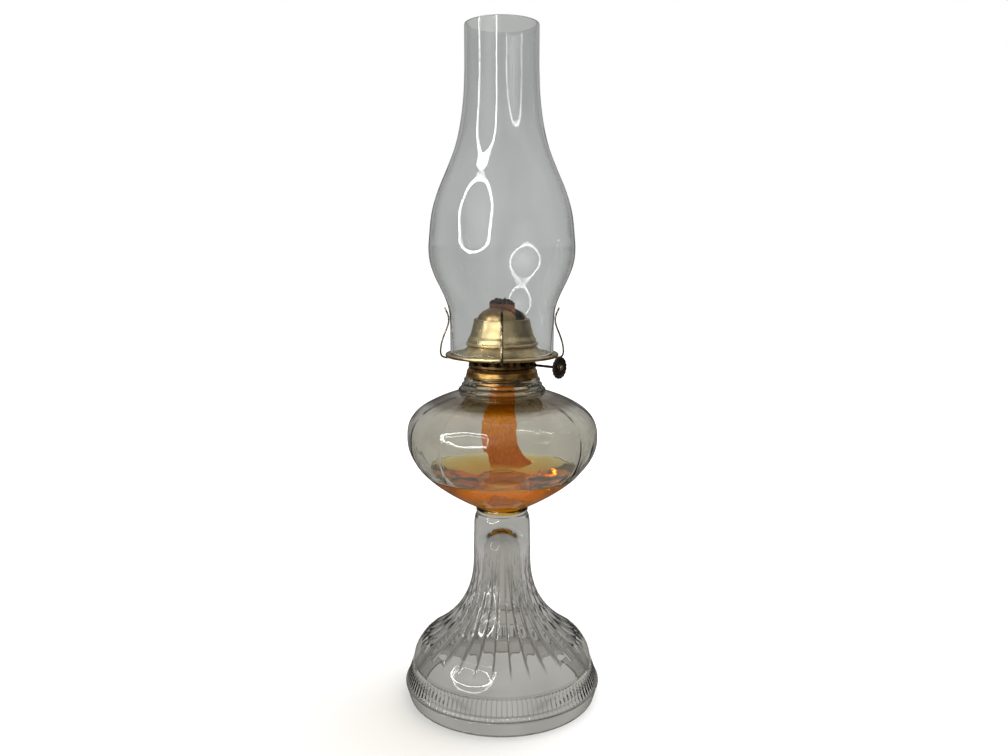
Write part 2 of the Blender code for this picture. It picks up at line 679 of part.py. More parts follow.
def make_air_basket(finish):
    """The pierced wall that lets air in and carries the gallery."""
    foot_top = BURNER_BASE + SHEET
    top = gallery_top(BASKET_TOP_RADIUS) - SHEET - SEAT_GAP
    outline = [
        (SHELL_BORE_RADIUS, BURNER_BASE),
        (BASKET_FOOT_RADIUS, BURNER_BASE),
        (BASKET_FOOT_RADIUS, foot_top),
        (BASKET_WALL_RADIUS, foot_top),
        (BASKET_TOP_RADIUS, top),
        (BASKET_TOP_RADIUS - SHEET, top),
        (BASKET_WALL_RADIUS - SHEET, foot_top),
        (SHELL_BORE_RADIUS, foot_top),
    ]
    basket = turned("air_basket", outline, METAL_FACETS, finish)
    holes = bmesh.new()
    low = BURNER_BASE + BASKET_WINDOW_LIFT
    reach = BASKET_TOP_RADIUS + CUT_OVERRUN
    exit_turn = math.atan2(SPINDLE_OFFSET, math.sqrt(BASKET_WALL_RADIUS ** 2 - SPINDLE_OFFSET ** 2))
    for index in range(1, BASKET_WINDOW_COUNT):
        angle = WICK_ANGLE + exit_turn + 2 * math.pi * index / BASKET_WINDOW_COUNT
        middle = Matrix.Rotation(angle, 4, "Z") @ Matrix.Translation((reach, 0, 0))
        loop = rectangle(reach - BASKET_WALL_RADIUS + CUT_OVERRUN, BASKET_WINDOW_WIDTH / 2)
        prism(holes, loop, low, low + BASKET_WINDOW_HEIGHT, middle)
    bore = circle(SLEEVE_RADIUS + SEAT_GAP, SMALL_FACETS)
    prism(holes, bore, SLEEVE_START, SLEEVE_END + CUT_OVERRUN, spindle_place())
    cut(basket, holes)


def gallery_top(radius):
    """Height of the dish's upper face: a hollow curve down to its flat floor."""
    span = GALLERY_FLOOR_RADIUS - GALLERY_INNER_RADIUS
    share = min((radius - GALLERY_INNER_RADIUS) / span, 1)
    return GALLERY_FLOOR + GALLERY_RISE * (1 - share) ** GALLERY_DISH_POWER


def make_gallery(finish):
    """The dish under the chimney, with its rolled edge."""
    roll_middle = GALLERY_RADIUS - GALLERY_ROLL_RADIUS
    span = GALLERY_FLOOR_RADIUS - GALLERY_INNER_RADIUS
    radii = [GALLERY_INNER_RADIUS + span * share for share in GALLERY_ROW_SHARES]
    upper = [(radius, gallery_top(radius)) for radius in radii]
    lower = [(radius, height - SHEET) for radius, height in upper]
    roll = arc(roll_middle, GALLERY_FLOOR - GALLERY_ROLL_RADIUS, GALLERY_ROLL_RADIUS, 90, -180, 5)
    turned("gallery", upper + roll + lower[::-1], METAL_FACETS, finish)


def make_diffuser(finish):
    """The pierced plate inside the gallery that evens out the draught."""
    radius = GALLERY_INNER_RADIUS - RUNNING_GAP
    high = GALLERY_FLOOR + GALLERY_RISE - SHEET
    low = high - PLATE_SHEET
    mesh = bmesh.new()
    prism(mesh, circle(radius, METAL_FACETS), low, high)
    plate = add("diffuser_plate", mesh, finish)
    holes = bmesh.new()
    loop = stadium(TUBE_HALF_WIDTH + SEAT_GAP, TUBE_HALF_DEPTH + SEAT_GAP)
    prism(holes, loop, low - CUT_OVERRUN, high + CUT_OVERRUN, wick_place())
    outer = radius - DIFFUSER_HOLE_MARGIN
    clear = TUBE_HALF_DEPTH + DIFFUSER_HOLE_RADIUS + SHEET * 2
    clear_end = TUBE_HALF_WIDTH + DIFFUSER_SLOT_MARGIN
    for reach, count in (
        (outer, DIFFUSER_OUTER_HOLES),
        (outer - DIFFUSER_RING_SPACING, DIFFUSER_INNER_HOLES),
    ):
        for x, y in circle(reach, count):
            spot = Vector((x, y, 0))
            if abs(spot.dot(WICK_ACROSS)) > clear or abs(spot.dot(WICK_ALONG)) > clear_end:
                hole = circle(DIFFUSER_HOLE_RADIUS, SMALL_FACETS // 2, x, y)
                prism(holes, hole, low - CUT_OVERRUN, high + CUT_OVERRUN)
    cut(plate, holes)


def make_deflector(finish):
    """The stepped dome: bead, bell and cap, with the slot that the flame stands in."""
    outer = [(BELL_BASE_RADIUS, DEFLECTOR_BASE)]
    for share in BELL_BEAD_SHARES:
        outer.append((BELL_BEAD_RADIUS, DEFLECTOR_BASE + BELL_BEAD_HEIGHT * share))
    bell_foot = DEFLECTOR_BASE + BELL_BEAD_HEIGHT
    for share, flare in reversed(BELL_SHARES):
        reach = blend(BELL_TOP_RADIUS, BELL_BASE_RADIUS, flare)
        outer.append((reach, blend(CAP_BASE, bell_foot, share)))
    inner = [(radius - SHEET, height) for radius, height in outer[3:-1:2]]
    for degrees in (0, 20, 40, 62, 90):
        angle = math.radians(degrees)
        reach = CAP_RADIUS * math.cos(angle) if degrees < 90 else 0
        outer.append((reach, CAP_BASE + CAP_HEIGHT * math.sin(angle)))
    inner_radius = CAP_RADIUS - SHEET
    inner_height = CAP_HEIGHT - SHEET
    for degrees in (0, 30, 60, 90):
        angle = math.radians(degrees)
        reach = inner_radius * math.cos(angle) if degrees < 90 else 0
        inner.append((reach, CAP_BASE - SHEET + (inner_height + SHEET) * math.sin(angle)))
    foot_inside = (BELL_BASE_RADIUS - SHEET, DEFLECTOR_BASE)
    outline = inner[::-1] + [foot_inside] + outer
    dome = turned("deflector", outline, METAL_FACETS, finish)
    slot = bmesh.new()
    loop = rectangle(CAP_RADIUS + CUT_OVERRUN, BLAZE_SLOT_WIDTH / 2)
    sill = CAP_BASE + BLAZE_SLOT_SILL
    prism(slot, loop, sill, CAP_BASE + CAP_HEIGHT + CUT_OVERRUN, wick_place())
    cut(dome, slot)


def make_wick_tube(finish):
    """The flat tube that guides the wick, with a window for the ratchet wheels."""
    place = wick_place()
    rings = []
    for half_width, half_depth, height in (
        (TUBE_HALF_WIDTH, TUBE_HALF_DEPTH, WICK_TUBE_BASE),
        (TUBE_HALF_WIDTH, TUBE_HALF_DEPTH, WICK_TUBE_TOP),
        (TUBE_BORE_HALF_WIDTH, TUBE_BORE_HALF_DEPTH, WICK_TUBE_TOP),
        (TUBE_BORE_HALF_WIDTH, TUBE_BORE_HALF_DEPTH, WICK_TUBE_BASE),
    ):
        loop = stadium(half_width, half_depth)
        rings.append([place @ Vector((x, y, height)) for x, y in loop])
    tube = add("wick_tube", skin(rings, closed=True), finish)
    window = bmesh.new()
    half_width = RATCHET_SPACING / 2 + RATCHET_THICKNESS / 2 + WINDOW_MARGIN
    half_height = RATCHET_RADIUS + WINDOW_MARGIN
    across = Matrix.Translation(WICK_ACROSS * TUBE_HALF_DEPTH)
    loop = rectangle(half_width, TUBE_HALF_DEPTH - SEAT_GAP)
    low = SPINDLE_HEIGHT - half_height
    prism(window, loop, low, SPINDLE_HEIGHT + half_height, across @ place)
    cut(tube, window)


def make_vent_tube(finish):
    """The small tube that lets the bowl breathe through the burner."""
    low = COLLAR_TOP - THREAD_LENGTH
    spot = -WICK_ACROSS * VENT_OFFSET
    rings = []
    for radius, height in (
        (VENT_RADIUS, low),
        (VENT_RADIUS, low + VENT_HEIGHT),
        (VENT_BORE, low + VENT_HEIGHT),
        (VENT_BORE, low),
    ):
        rings.append([point + spot for point in ring(radius, height, SMALL_FACETS)])
    add("vent_tube", skin(rings, closed=True), finish)


def spindle_place():
    """The spindle's own frame: Z out along the spindle, towards the thumbwheel."""
    middle = WICK_ACROSS * SPINDLE_OFFSET + Vector((0, 0, SPINDLE_HEIGHT))
    return Matrix.Translation(middle) @ WICK_ALONG.to_track_quat("Z", "Y").to_matrix().to_4x4()


def make_spindle(dark, finish):
    """The spindle with its ratchet wheels and thumbwheel, on an empty at its axis."""
    axis = bpy.data.objects.new("spindle_axis", None)
    bpy.context.collection.objects.link(axis)
    axis.matrix_world = spindle_place()
    wheel_base = THUMBWHEEL_REACH - THUMBWHEEL_THICKNESS / 2
    end = wheel_base + THUMBWHEEL_THICKNESS + THUMBWHEEL_BOSS_HEIGHT
    rod = bmesh.new()
    prism(rod, circle(SPINDLE_RADIUS, SMALL_FACETS), -SPINDLE_INNER_END, end)
    add("wick_spindle", rod, dark, axis)
    bore = SPINDLE_RADIUS + SEAT_GAP
    for name, side in (("ratchet_wheel_left", -1), ("ratchet_wheel_right", 1)):
        low = side * RATCHET_SPACING / 2 - RATCHET_THICKNESS / 2
        high = low + RATCHET_THICKNESS
        columns = RATCHET_TEETH * 2
        rings = [
            ring(RATCHET_RADIUS, low, columns, 0, RATCHET_TEETH, RATCHET_DEPTH),
            ring(RATCHET_RADIUS, high, columns, 0, RATCHET_TEETH, RATCHET_DEPTH),
            ring(bore, high, SMALL_FACETS),
            ring(bore, low, SMALL_FACETS),
        ]
        add(name, skin(rings, closed=True), dark, axis)
    sleeve = [
        (SLEEVE_BORE, SLEEVE_START),
        (SLEEVE_RADIUS, SLEEVE_START),
        (SLEEVE_RADIUS, SLEEVE_END),
        (SLEEVE_BORE, SLEEVE_END),
    ]
    turned("spindle_sleeve", sleeve, SMALL_FACETS, finish, axis)
    make_thumbwheel(dark, axis, wheel_base, bore)
    rivet = [(0, end + SEAT_GAP), (RIVET_RADIUS, end + SEAT_GAP)]
    inward, upward = RIVET_SHOULDER_SHARES
    rivet += [(RIVET_RADIUS * inward, end + SEAT_GAP + RIVET_HEIGHT * upward)]
    rivet += [(0, end + SEAT_GAP + RIVET_HEIGHT)]
    turned("thumbwheel_rivet", rivet, SMALL_FACETS, finish, axis)


def make_thumbwheel(finish, axis, base, bore):
    """The scalloped wheel, thicker at its boss, on the spindle's outer end."""
    columns = THUMBWHEEL_SCALLOPS * 2
    face = base + THUMBWHEEL_THICKNESS
    boss_face = face + THUMBWHEEL_BOSS_HEIGHT
    inset = SCALLOP_DEPTH
    rings = [
        ring(bore, base, SMALL_FACETS),
        ring(THUMBWHEEL_RADIUS - inset, base, columns, 0, THUMBWHEEL_SCALLOPS, SCALLOP_DEPTH),
        ring(THUMBWHEEL_RADIUS, base + inset / 2, columns, 0, THUMBWHEEL_SCALLOPS, SCALLOP_DEPTH),
        ring(THUMBWHEEL_RADIUS, face - inset / 2, columns, 0, THUMBWHEEL_SCALLOPS, SCALLOP_DEPTH),
        ring(THUMBWHEEL_RADIUS - inset, face, columns, 0, THUMBWHEEL_SCALLOPS, SCALLOP_DEPTH),
        ring(THUMBWHEEL_BOSS_RADIUS, face, SMALL_FACETS),
        ring(THUMBWHEEL_BOSS_RADIUS - inset, boss_face, SMALL_FACETS),
        ring(bore, boss_face, SMALL_FACETS),
    ]
    add("thumbwheel", skin(rings, closed=True), finish, axis)


def wick_station(share):
    """Centre, facing and droop of the wick, share of the way down its free tail."""
    ease = share * share * (3 - 2 * share)
    sway = WICK_SWAY * math.sin(math.pi * share)
    left, back = WICK_SWAY_SHARES
    centre = Vector((WICK_END_SWEEP * share ** 4 - sway * left, sway * back, 0))
    return centre, WICK_ANGLE * (1 - ease), -WICK_END_DROP * share ** 3


def make_wick(finish):
    """The flat woven wick: straight in its tube, then turning as it hangs in the bowl."""
    half_width = WICK_WIDTH / 2
    loop = stadium(half_width, WICK_THICKNESS / 2, 3)
    rings = []
    place = wick_place()
    for height in (WICK_TOP, WICK_TUBE_TOP, WICK_TUBE_BASE, WICK_TAIL_TOP):
        rings.append([place @ Vector((x, y, height)) for x, y in loop])
    for share in spread(11)[1:]:
        centre, facing, droop = wick_station(share)
        turn = Matrix.Rotation(facing, 4, "Z")
        points = []
        for x, y in loop:
            tilt = -droop * x / half_width
            height = blend(WICK_TAIL_TOP, WICK_END, share) + tilt
            points.append(centre + turn @ Vector((x, y, height)))
        rings.append(points)
    add("wick", skin(rings), finish)


def prong_path():
    """(radius, height) points up a prong, from its pivot under the gallery's edge."""
    contact = CHIMNEY_BASE_RADIUS + RUNNING_GAP + PRONG_THICKNESS / 2
    bow = GALLERY_RADIUS + PRONG_BOW
    path = [(GALLERY_RADIUS - PRONG_TAB, 0), (GALLERY_RADIUS, 0)]
    for radius_share, height_share in PRONG_SHARES:
        path.append((blend(contact, bow, radius_share), PRONG_HEIGHT * height_share))
    return path


def make_prongs(finish):
    """Four sprung strips that grip the chimney, each hinged at its root."""
    pivot_radius = GALLERY_RADIUS - GALLERY_ROLL_RADIUS
    edge_base = GALLERY_FLOOR - GALLERY_ROLL_RADIUS * 2
    root = edge_base - RUNNING_GAP - PRONG_THICKNESS / 2
    path = prong_path()
    last = len(path) - 1
    rings = []
    for index, (radius, height) in enumerate(path):
        before = Vector(path[max(index - 1, 0)])
        after = Vector(path[min(index + 1, last)])
        normal = (after - before).normalized().orthogonal() * PRONG_THICKNESS / 2
        points = []
        for side, face in ((-1, -1), (1, -1), (1, 1), (-1, 1)):
            offset = normal * face
            points.append(
                Vector((radius - pivot_radius + offset.x, side * PRONG_WIDTH / 2, height + offset.y))
            )
        rings.append(points)
    for name, azimuth in PRONG_AZIMUTHS_DEG.items():
        prong = add(name, skin(rings), finish)
        angle = math.radians(azimuth)
        prong.location = (pivot_radius * math.cos(angle), pivot_radius * math.sin(angle), root)
        prong.rotation_euler = (0, 0, angle)


def chimney_radius(height):
    """The chimney's outer radius at a height above its base."""
    swell = CHIMNEY_BULGE_HEIGHT - CHIMNEY_STRAIGHT_HEIGHT
    shoulder = CHIMNEY_NECK_HEIGHT - CHIMNEY_BULGE_HEIGHT
    if height <= CHIMNEY_STRAIGHT_HEIGHT:
        return CHIMNEY_BASE_RADIUS
    if height <= CHIMNEY_BULGE_HEIGHT:
        share = interpolate(SWELL_SHARES, (height - CHIMNEY_STRAIGHT_HEIGHT) / swell)
        return blend(CHIMNEY_BASE_RADIUS, CHIMNEY_BULGE_RADIUS, share)
    if height <= CHIMNEY_NECK_HEIGHT:
        share = interpolate(SHOULDER_SHARES, (height - CHIMNEY_BULGE_HEIGHT) / shoulder)
        return blend(CHIMNEY_NECK_RADIUS, CHIMNEY_BULGE_RADIUS, share)
    return CHIMNEY_NECK_RADIUS


def make_chimney(finish):
    """The blown glass chimney, open at both ends."""
    heights = [CHIMNEY_HEIGHT * share for share in CHIMNEY_ROW_SHARES]
    outer = [(chimney_radius(height), CHIMNEY_BASE + height) for height in heights]
    inner = [(radius - CHIMNEY_WALL, height) for radius, height in outer[::2] + outer[-1:]]
    lip = CHIMNEY_WALL / 2
    top = CHIMNEY_BASE + CHIMNEY_HEIGHT
    mouth = arc(CHIMNEY_NECK_RADIUS - lip, top - lip, lip, 0, 180, 5)
    turned("chimney", outer + mouth + inner[::-1], GLASS_FACETS, finish)


def main():
    for old in list(bpy.data.objects):
        bpy.data.objects.remove(old)
    clear = (0.86, 0.88, 0.87)
    aged = (0.46, 0.35, 0.17)
    bright = (0.62, 0.46, 0.20)
    dark = (0.10, 0.075, 0.05)
    make_pedestal(glass("pedestal_glass", clear))
    make_font(glass("font_glass", clear))
    make_collar(brass("collar_brass", (0.50, 0.36, 0.17), 0.30), material("cement", (0.62, 0.58, 0.50), 0.9))
    make_thread_shell(brass("thread_shell_brass", aged))
    make_base_plate(brass("base_plate_brass", aged, 0.5))
    make_air_basket(brass("air_basket_brass", aged))
    make_gallery(brass("gallery_brass", aged, 0.34))
    make_diffuser(brass("diffuser_brass", aged, 0.5))
    make_deflector(brass("deflector_brass", aged, 0.36))
    make_wick_tube(brass("wick_tube_brass", (0.42, 0.26, 0.14), 0.45))
    make_vent_tube(brass("vent_tube_brass", aged, 0.45))
    make_spindle(brass("spindle_steel", dark, 0.42), brass("sleeve_brass", bright))
    make_wick(material("wick_cotton", (0.62, 0.28, 0.05), 0.95))
    make_prongs(brass("prong_brass", bright, 0.3))
    make_chimney(glass("chimney_glass", (0.92, 0.93, 0.93)))


main()
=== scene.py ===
import math

import bmesh
import bpy
from mathutils import Matrix, Vector, noise


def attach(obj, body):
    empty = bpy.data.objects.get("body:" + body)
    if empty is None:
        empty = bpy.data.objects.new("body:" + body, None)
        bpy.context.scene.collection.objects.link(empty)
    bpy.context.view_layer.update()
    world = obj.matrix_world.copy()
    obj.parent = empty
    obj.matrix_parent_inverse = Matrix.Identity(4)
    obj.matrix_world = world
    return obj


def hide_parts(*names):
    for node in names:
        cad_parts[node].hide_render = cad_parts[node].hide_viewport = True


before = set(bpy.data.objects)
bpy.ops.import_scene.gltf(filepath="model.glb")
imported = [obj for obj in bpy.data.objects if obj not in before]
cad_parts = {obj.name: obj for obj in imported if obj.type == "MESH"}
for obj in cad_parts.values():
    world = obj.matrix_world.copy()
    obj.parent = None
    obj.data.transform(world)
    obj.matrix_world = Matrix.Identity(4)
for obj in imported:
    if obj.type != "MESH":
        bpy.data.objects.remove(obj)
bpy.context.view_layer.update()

# Camera, fitted to the photograph: metres and degrees
CAMERA_PLACE = (0.0015, -0.643, 0.340)
CAMERA_PITCH_DEG = 8.39
CAMERA_LENS = 31.25
SENSOR_WIDTH = 36.0

# Stage
FLOOR_SIZE = 30.0
FLOOR_COLOUR = (0.80, 0.80, 0.80)
FLOOR_LIFT = (0.0, 0.60, 0.15, 0.9)
AMBIENT = 0.80
GLOSS_LOW = 0.05
GLOSS_HIGH = 0.80
BACKDROP_GREY = (0.52, 0.52, 0.51)
BACKDROP_DARK = (0.22, 0.22, 0.215)
TABLE_GREY = (0.56, 0.55, 0.53)
TABLE_GLOSS = (0.11, 0.105, 0.095)
STAGE_AIM = Vector((0, 0, 0.25))
# place, size, power
LAMPS = {
    "key": ((0.35, 0.30, 1.30), (1.0, 1.0), 15.0),
    "fill": ((-0.9, -0.8, 0.7), (0.6, 0.6), 3.0),
}

# Ring lamp and cards, which only reflections show
RING_DIRECTION = (-0.630, -0.652, 0.423)
RING_DISTANCE = 1.10
RING_RADIUS = 0.53
RING_TUBE = 0.030
RING_POWER = 20.0
CARD_DISTANCE = 1.2
CHIMNEY_FACES = 4.0
# azimuth in degrees, rise, size, shader, its inputs, share seen in the open
CARDS = {
    "dark_card": (-8.0, 0.1, 3.2, "BsdfDiffuse", {"Color": (0.01, 0.01, 0.01, 1.0)}, 0.0),
    "glow_card": (-126.0, 0.4, 2.1, "Emission", {"Strength": 4.8}, 0.35),
}

# Pedestal, as in the CAD model
PEDESTAL_HEIGHT = 0.1432
RIM_HEIGHT = 0.0120
RIM_RADIUS = 0.0745
RIM_ROUNDING = 0.0012
RIM_UNDERCUT = 0.0035
UNDERSIDE_BEVEL = 0.0004
UNDERSIDE_ROUNDING = 0.0010
INNER_BEVEL = 0.0006
BAND_TOP_HEIGHT = 0.0268
BAND_TOP_RADIUS = 0.0689
BAND_STEP = 0.0009
NOTCH_DEPTH = 0.0005
RIB_COUNT = 120
RIB_DEPTH = 0.0008
RIB_MARGIN = 0.0026
SHOULDER_HEIGHT = 0.0440
SHOULDER_RADIUS = 0.0603
SHOULDER_SWELL = 0.0021
FLUTE_COUNT = 30
FLUTE_DEPTH = 0.0007
FLUTE_TOP_HEIGHT = 0.1130
FLUTE_RUN_OUT_SHARE = 0.30
FLUTE_FADE_POWER = 0.4
FLUTE_EDGE_POWER = 3.0
FLARE_POWER = 2.75
STEM_FOOT_RADIUS = 0.0216
STEM_RADIUS = 0.0212
STEM_SHOULDER_HEIGHT = 0.0100
STEM_TOP_RADIUS = 0.0184
FOOT_WALL = 0.0045
HOLLOW_SHOULDER_WALL = 0.0065
HOLLOW_SWELL = 0.0018
HOLLOW_STEM_RADIUS = 0.0135
HOLLOW_TOP_HEIGHT = 0.1320
PEDESTAL_COLUMNS = 600
# Painted shade lines in the valleys, standing in for the dark lines that the glass bends into view there:
# width as a share, foot and head height, fade at foot and head
FLUTE_VALLEY_SHADE = (0.32, SHOULDER_HEIGHT - 0.006, FLUTE_TOP_HEIGHT, 0.006, 0.03)
RIB_VALLEY_SHADE = (0.55, RIM_HEIGHT, BAND_TOP_HEIGHT, 0.004, 0.004)
RIB_VALLEY_SHADE_PALENESS = 0.35

# Font
FONT_BASE = 0.1435
FONT_RING_RADIUS = 0.0190
FONT_RING_SWELL = 0.0006
BOWL_BASE = 0.1480
BOWL_MIDDLE = 0.2005
NECK_BASE = 0.2355
BOWL_RADIUS = 0.0711
BOWL_LOWER_POWER = 2.0
BOWL_UPPER_POWER = 3.0
BOWL_WALL = 0.0032
BOWL_FLOOR = 0.0030
BOWL_FLOOR_RADIUS = 0.0160
BOWL_CEILING = 0.0020
BOWL_FLOOR_HEIGHT = BOWL_BASE + BOWL_FLOOR
PANEL_COUNT = 12
PANEL_DEPTH = 0.0006
PANEL_AZIMUTH_DEG = -98.0
PANEL_START = math.radians(PANEL_AZIMUTH_DEG)
PANEL_CORNER_POWER = 5.0
PANEL_WIDTH_SHARE = 0.955
PANEL_FOOT_SHARE = 0.48
PANEL_HEAD_SHARE = 0.90
PANEL_SIDE_SHARE = 0.42
PANEL_END_SHARE = 0.22
PANEL_CRISP_SHARE = 0.35
PANEL_CRISPNESS = 0.22
PANEL_TOP_SHARE = 0.35
PANEL_INSIDE_SHARE = 0.95
PANEL_DEPTH_INSIDE = PANEL_DEPTH * PANEL_INSIDE_SHARE
NECK_RING_RADII = (0.0324, 0.0299, 0.0283)
NECK_RING_HEIGHT = 0.0037
NECK_GROOVE_DEPTH = 0.0011
NECK_RING_PROFILE = ((0.0, 0.95), (0.08, 0.54), (0.35, 0.0), (0.62, 0.18), (0.80, 0.80), (1.0, 1.0))
NECK_TOP = 0.2466
NECK_LIP_TOP = 0.2511
NECK_LIP_RADIUS = 0.0253
LIP_BORE_RADIUS = 0.02345
NECK_BORE_RADIUS = 0.0215
NECK_SHELF = 0.2435
FONT_COLUMNS = 480
# middle radius, floor height and radius, ceiling height and radius
BOWL_INSIDE = (
    BOWL_RADIUS - BOWL_WALL, BOWL_FLOOR_HEIGHT, BOWL_FLOOR_RADIUS, NECK_BASE - BOWL_CEILING, NECK_BORE_RADIUS,
)

# Oil
OIL_LEVEL = 0.1762
OIL_GAP = 0.00012
OIL_MENISCUS = 0.0009
OIL_MENISCUS_STEEPNESS = 40
OIL_SURFACE_SHARES = (0.995, 0.985, 0.965, 0.93, 0.88, 0.6, 0.3)
WET_MARGIN = 0.0008

# Collar and thread
COLLAR_BASE = 0.2469
COLLAR_TOP = 0.2536
COLLAR_BORE_RADIUS = 0.02255
COLLAR_SLEEVE_RADIUS = 0.02315
COLLAR_TOP_RADIUS = 0.0248
COLLAR_WAIST_RADIUS = 0.0262
COLLAR_BASE_RADIUS = 0.0269
COLLAR_SHEET = 0.0006
COLLAR_ROUNDING = 0.0006
COLLAR_STEP = 0.0003
COLLAR_FOOT_STEPS = ((0.0001, 0.0022), (0.0003, 0.0016))
SLEEVE_FOOT = 0.2438
THREAD_RADIUS = 0.0222
THREAD_PITCH = 0.001814
THREAD_DEPTH = 0.00028
THREAD_FOOT = 0.2446
SHELL_BORE_RADIUS = 0.0208
SHEET = 0.0007
COLLAR_THREAD_ROWS = 46
SHELL_THREAD_ROWS = 44
METAL_COLUMNS = 128
SHARP_DEG = 40.0

# Burner
BURNER_BASE = 0.2539
BASKET_FOOT_RADIUS = 0.0246
BASKET_WALL_RADIUS = 0.0242
BASKET_TOP_RADIUS = 0.0266
BASKET_TOP = 0.2675
BASKET_BEND = 0.0006
BASKET_CORNER_SHARE = 0.12
BASKET_WINDOW_COUNT = 16
BASKET_WINDOW_LIFT = 0.0022
BASKET_WINDOW_HEIGHT = 0.0046
# half of a window's width, between its corners and at them
BASKET_WINDOW_SHARES = (0.3, 0.2)
BASKET_COLUMNS = 160
SLEEVE_BORE_RADIUS = 0.0024
SLEEVE_BORE_LENGTH = 0.0080
GALLERY_RADIUS = 0.0418
GALLERY_FLOOR = 0.2637
GALLERY_RISE = 0.0060
GALLERY_DISH_POWER = 2.2
GALLERY_INNER_RADIUS = 0.0250
GALLERY_FLOOR_RADIUS = 0.0355
GALLERY_ROLL_RADIUS = 0.0014
GALLERY_ROLL_DROP = 0.0008
GALLERY_BEAD_RADIUS = 0.0322
GALLERY_BEAD_WIDTH = 0.0007
GALLERY_BEAD_HEIGHT = 0.0005
DEFLECTOR_BASE = 0.2700
BELL_BASE_RADIUS = 0.0256
BELL_BEAD_RADIUS = 0.0268
BELL_BEAD_HEIGHT = 0.0022
BELL_TOP_RADIUS = 0.0206
CAP_BASE = 0.2888
CAP_RADIUS = 0.0178
CAP_HEIGHT = 0.0100
BELL_SHARES = (
    (0.00, 0.00), (0.06, 0.04), (0.30, 0.20), (0.55, 0.42), (0.72, 0.58), (0.84, 0.86), (1.00, 1.00),
)
BLAZE_SLOT_WIDTH = 0.0092
BLAZE_SLOT_SILL = 0.2892

# Wick
WICK_AZIMUTH_DEG = -40.0
WICK_WIDTH = 0.0240
WICK_THICKNESS = 0.0026
WICK_TOP = 0.3053
WICK_TAIL_TOP = 0.2273
WICK_END = 0.1742
WICK_SWAY = 0.0065
WICK_SWAY_SHARES = (0.4, 0.5)
WICK_END_SWEEP = 0.0090
WICK_TURN_SHARE = 0.35
WICK_SWELL_SHARE = 0.10
WICK_END_DROP = 0.0060
WICK_COLUMNS = 66
WICK_STRAIGHT_ROWS = 230
WICK_TAIL_ROWS = 160
CHAR_HEIGHT = 0.0042
CHAR_ROUNDING = 0.0010
CHAR_LUMPS = 0.0012
CHAR_PLAY = 0.0002
CHAR_PEAKS = 0.0026
CHAR_ARCH = 0.0022
CHAR_GRAIN = 800.0
CHAR_NARROWING_SHARE = 0.13
WEAVE_RIB = 0.0016
WEAVE_PICK = 0.0013
WEAVE_RELIEF = 0.00030

# Thumbwheel, along the spindle
SPINDLE_HEIGHT = 0.2564
SPINDLE_OFFSET = 0.0061
THUMBWHEEL_BASE = 0.0475
THUMBWHEEL_THICKNESS = 0.0016
THUMBWHEEL_RADIUS = 0.0080
THUMBWHEEL_BORE = 0.00125
THUMBWHEEL_BOSS_RADIUS = 0.0026
THUMBWHEEL_BOSS_HEIGHT = 0.0007
THUMBWHEEL_ROUNDING = 0.0005
THUMBWHEEL_DISH = 0.0004
THUMBWHEEL_BEVEL = 0.0003
THUMBWHEEL_SCALLOPS = 16
SCALLOP_DEPTH = 0.0007

# Prongs
PRONG_WIDTH = 0.0020
PRONG_THICKNESS = 0.0013
PRONG_HEIGHT = 0.0370
PRONG_TAB = 0.0035
PRONG_ROWS = 64
PRONG_COLUMNS = 16
PRONG_EDGE_POWER = 0.5
PRONG_FACE_POWER = 0.7
PRONG_TAPER = 0.35
PRONG_TIP_SHARE = 0.07
PRONG_BOW = 0.0036
PRONG_CONTACT_RADIUS = 0.0392
PRONG_ROOT = 0.2605
PRONG_AZIMUTHS_DEG = {"front": -90.0, "right": 0.0, "back": 90.0, "left": 180.0}
PRONG_SHARES = (
    (0.82, 0.030), (0.98, 0.085), (1.00, 0.150), (0.86, 0.300), (0.52, 0.470),
    (0.16, 0.620), (0.00, 0.740), (0.08, 0.850), (0.46, 1.000),
)

# Chimney
CHIMNEY_BASE = 0.2640
CHIMNEY_HEIGHT = 0.2321
CHIMNEY_BASE_RADIUS = 0.0381
CHIMNEY_BULGE_RADIUS = 0.0533
CHIMNEY_NECK_RADIUS = 0.0265
CHIMNEY_WALL = 0.0020
CHIMNEY_STRAIGHT_HEIGHT = 0.0200
CHIMNEY_BULGE_HEIGHT = 0.0781
CHIMNEY_NECK_HEIGHT = 0.2030
SWELL_SHARES = (
    (0.00, 0.000), (0.19, 0.050), (0.33, 0.200), (0.465, 0.428),
    (0.60, 0.680), (0.725, 0.862), (0.86, 0.974), (1.00, 1.000),
)
SHOULDER_SHARES = (
    (0.00, 1.000), (0.184, 0.907), (0.312, 0.735), (0.44, 0.481),
    (0.56, 0.265), (0.688, 0.123), (0.84, 0.032), (1.00, 0.000),
)
CHIMNEY_COLUMNS = 180

# Glass and oil
GLASS_IOR = 1.50
GLASS_TO_OIL_IOR = 1.055
GLASS_STREAKS = (26.0, 2.0, (1.0, 1.0, 0.35))
GLASS_SMEAR = (55.0, 4.0)
GLASS_ROUGHNESS = 0.035
OIL_IOR = 1.44
OIL_TINT = (1.0, 0.96, 0.86)
OIL_BODY = (1.0, 0.95, 0.66)
OIL_CLEAR_SHARE = 0.95
OIL_COLOUR = (0.990, 0.88, 0.03, 1.0)
OIL_DENSITY = 60.0
WHITE = (1.0, 1.0, 1.0)
OIL_STAIN = ((0.1480, (0.94, 0.55, 0.11)), (0.1690, (1.0, 0.82, 0.44)), (0.1762, (1.0, 0.97, 0.84)))
# Painted shade: a dark brown band round the bowl's neck, standing in for the dark ring that the thick glass
# bends into view
NECK_PAINTED_SHADE = (
    (0.2252, WHITE), (0.2286, (0.17, 0.12, 0.07)), (0.2330, (0.26, 0.20, 0.13)), (0.2365, (0.78, 0.73, 0.63)),
)
CHIMNEY_SHADE = ((0.29, WHITE), (0.36, (0.985, 0.985, 0.985)), (0.47, (0.935, 0.935, 0.935)))
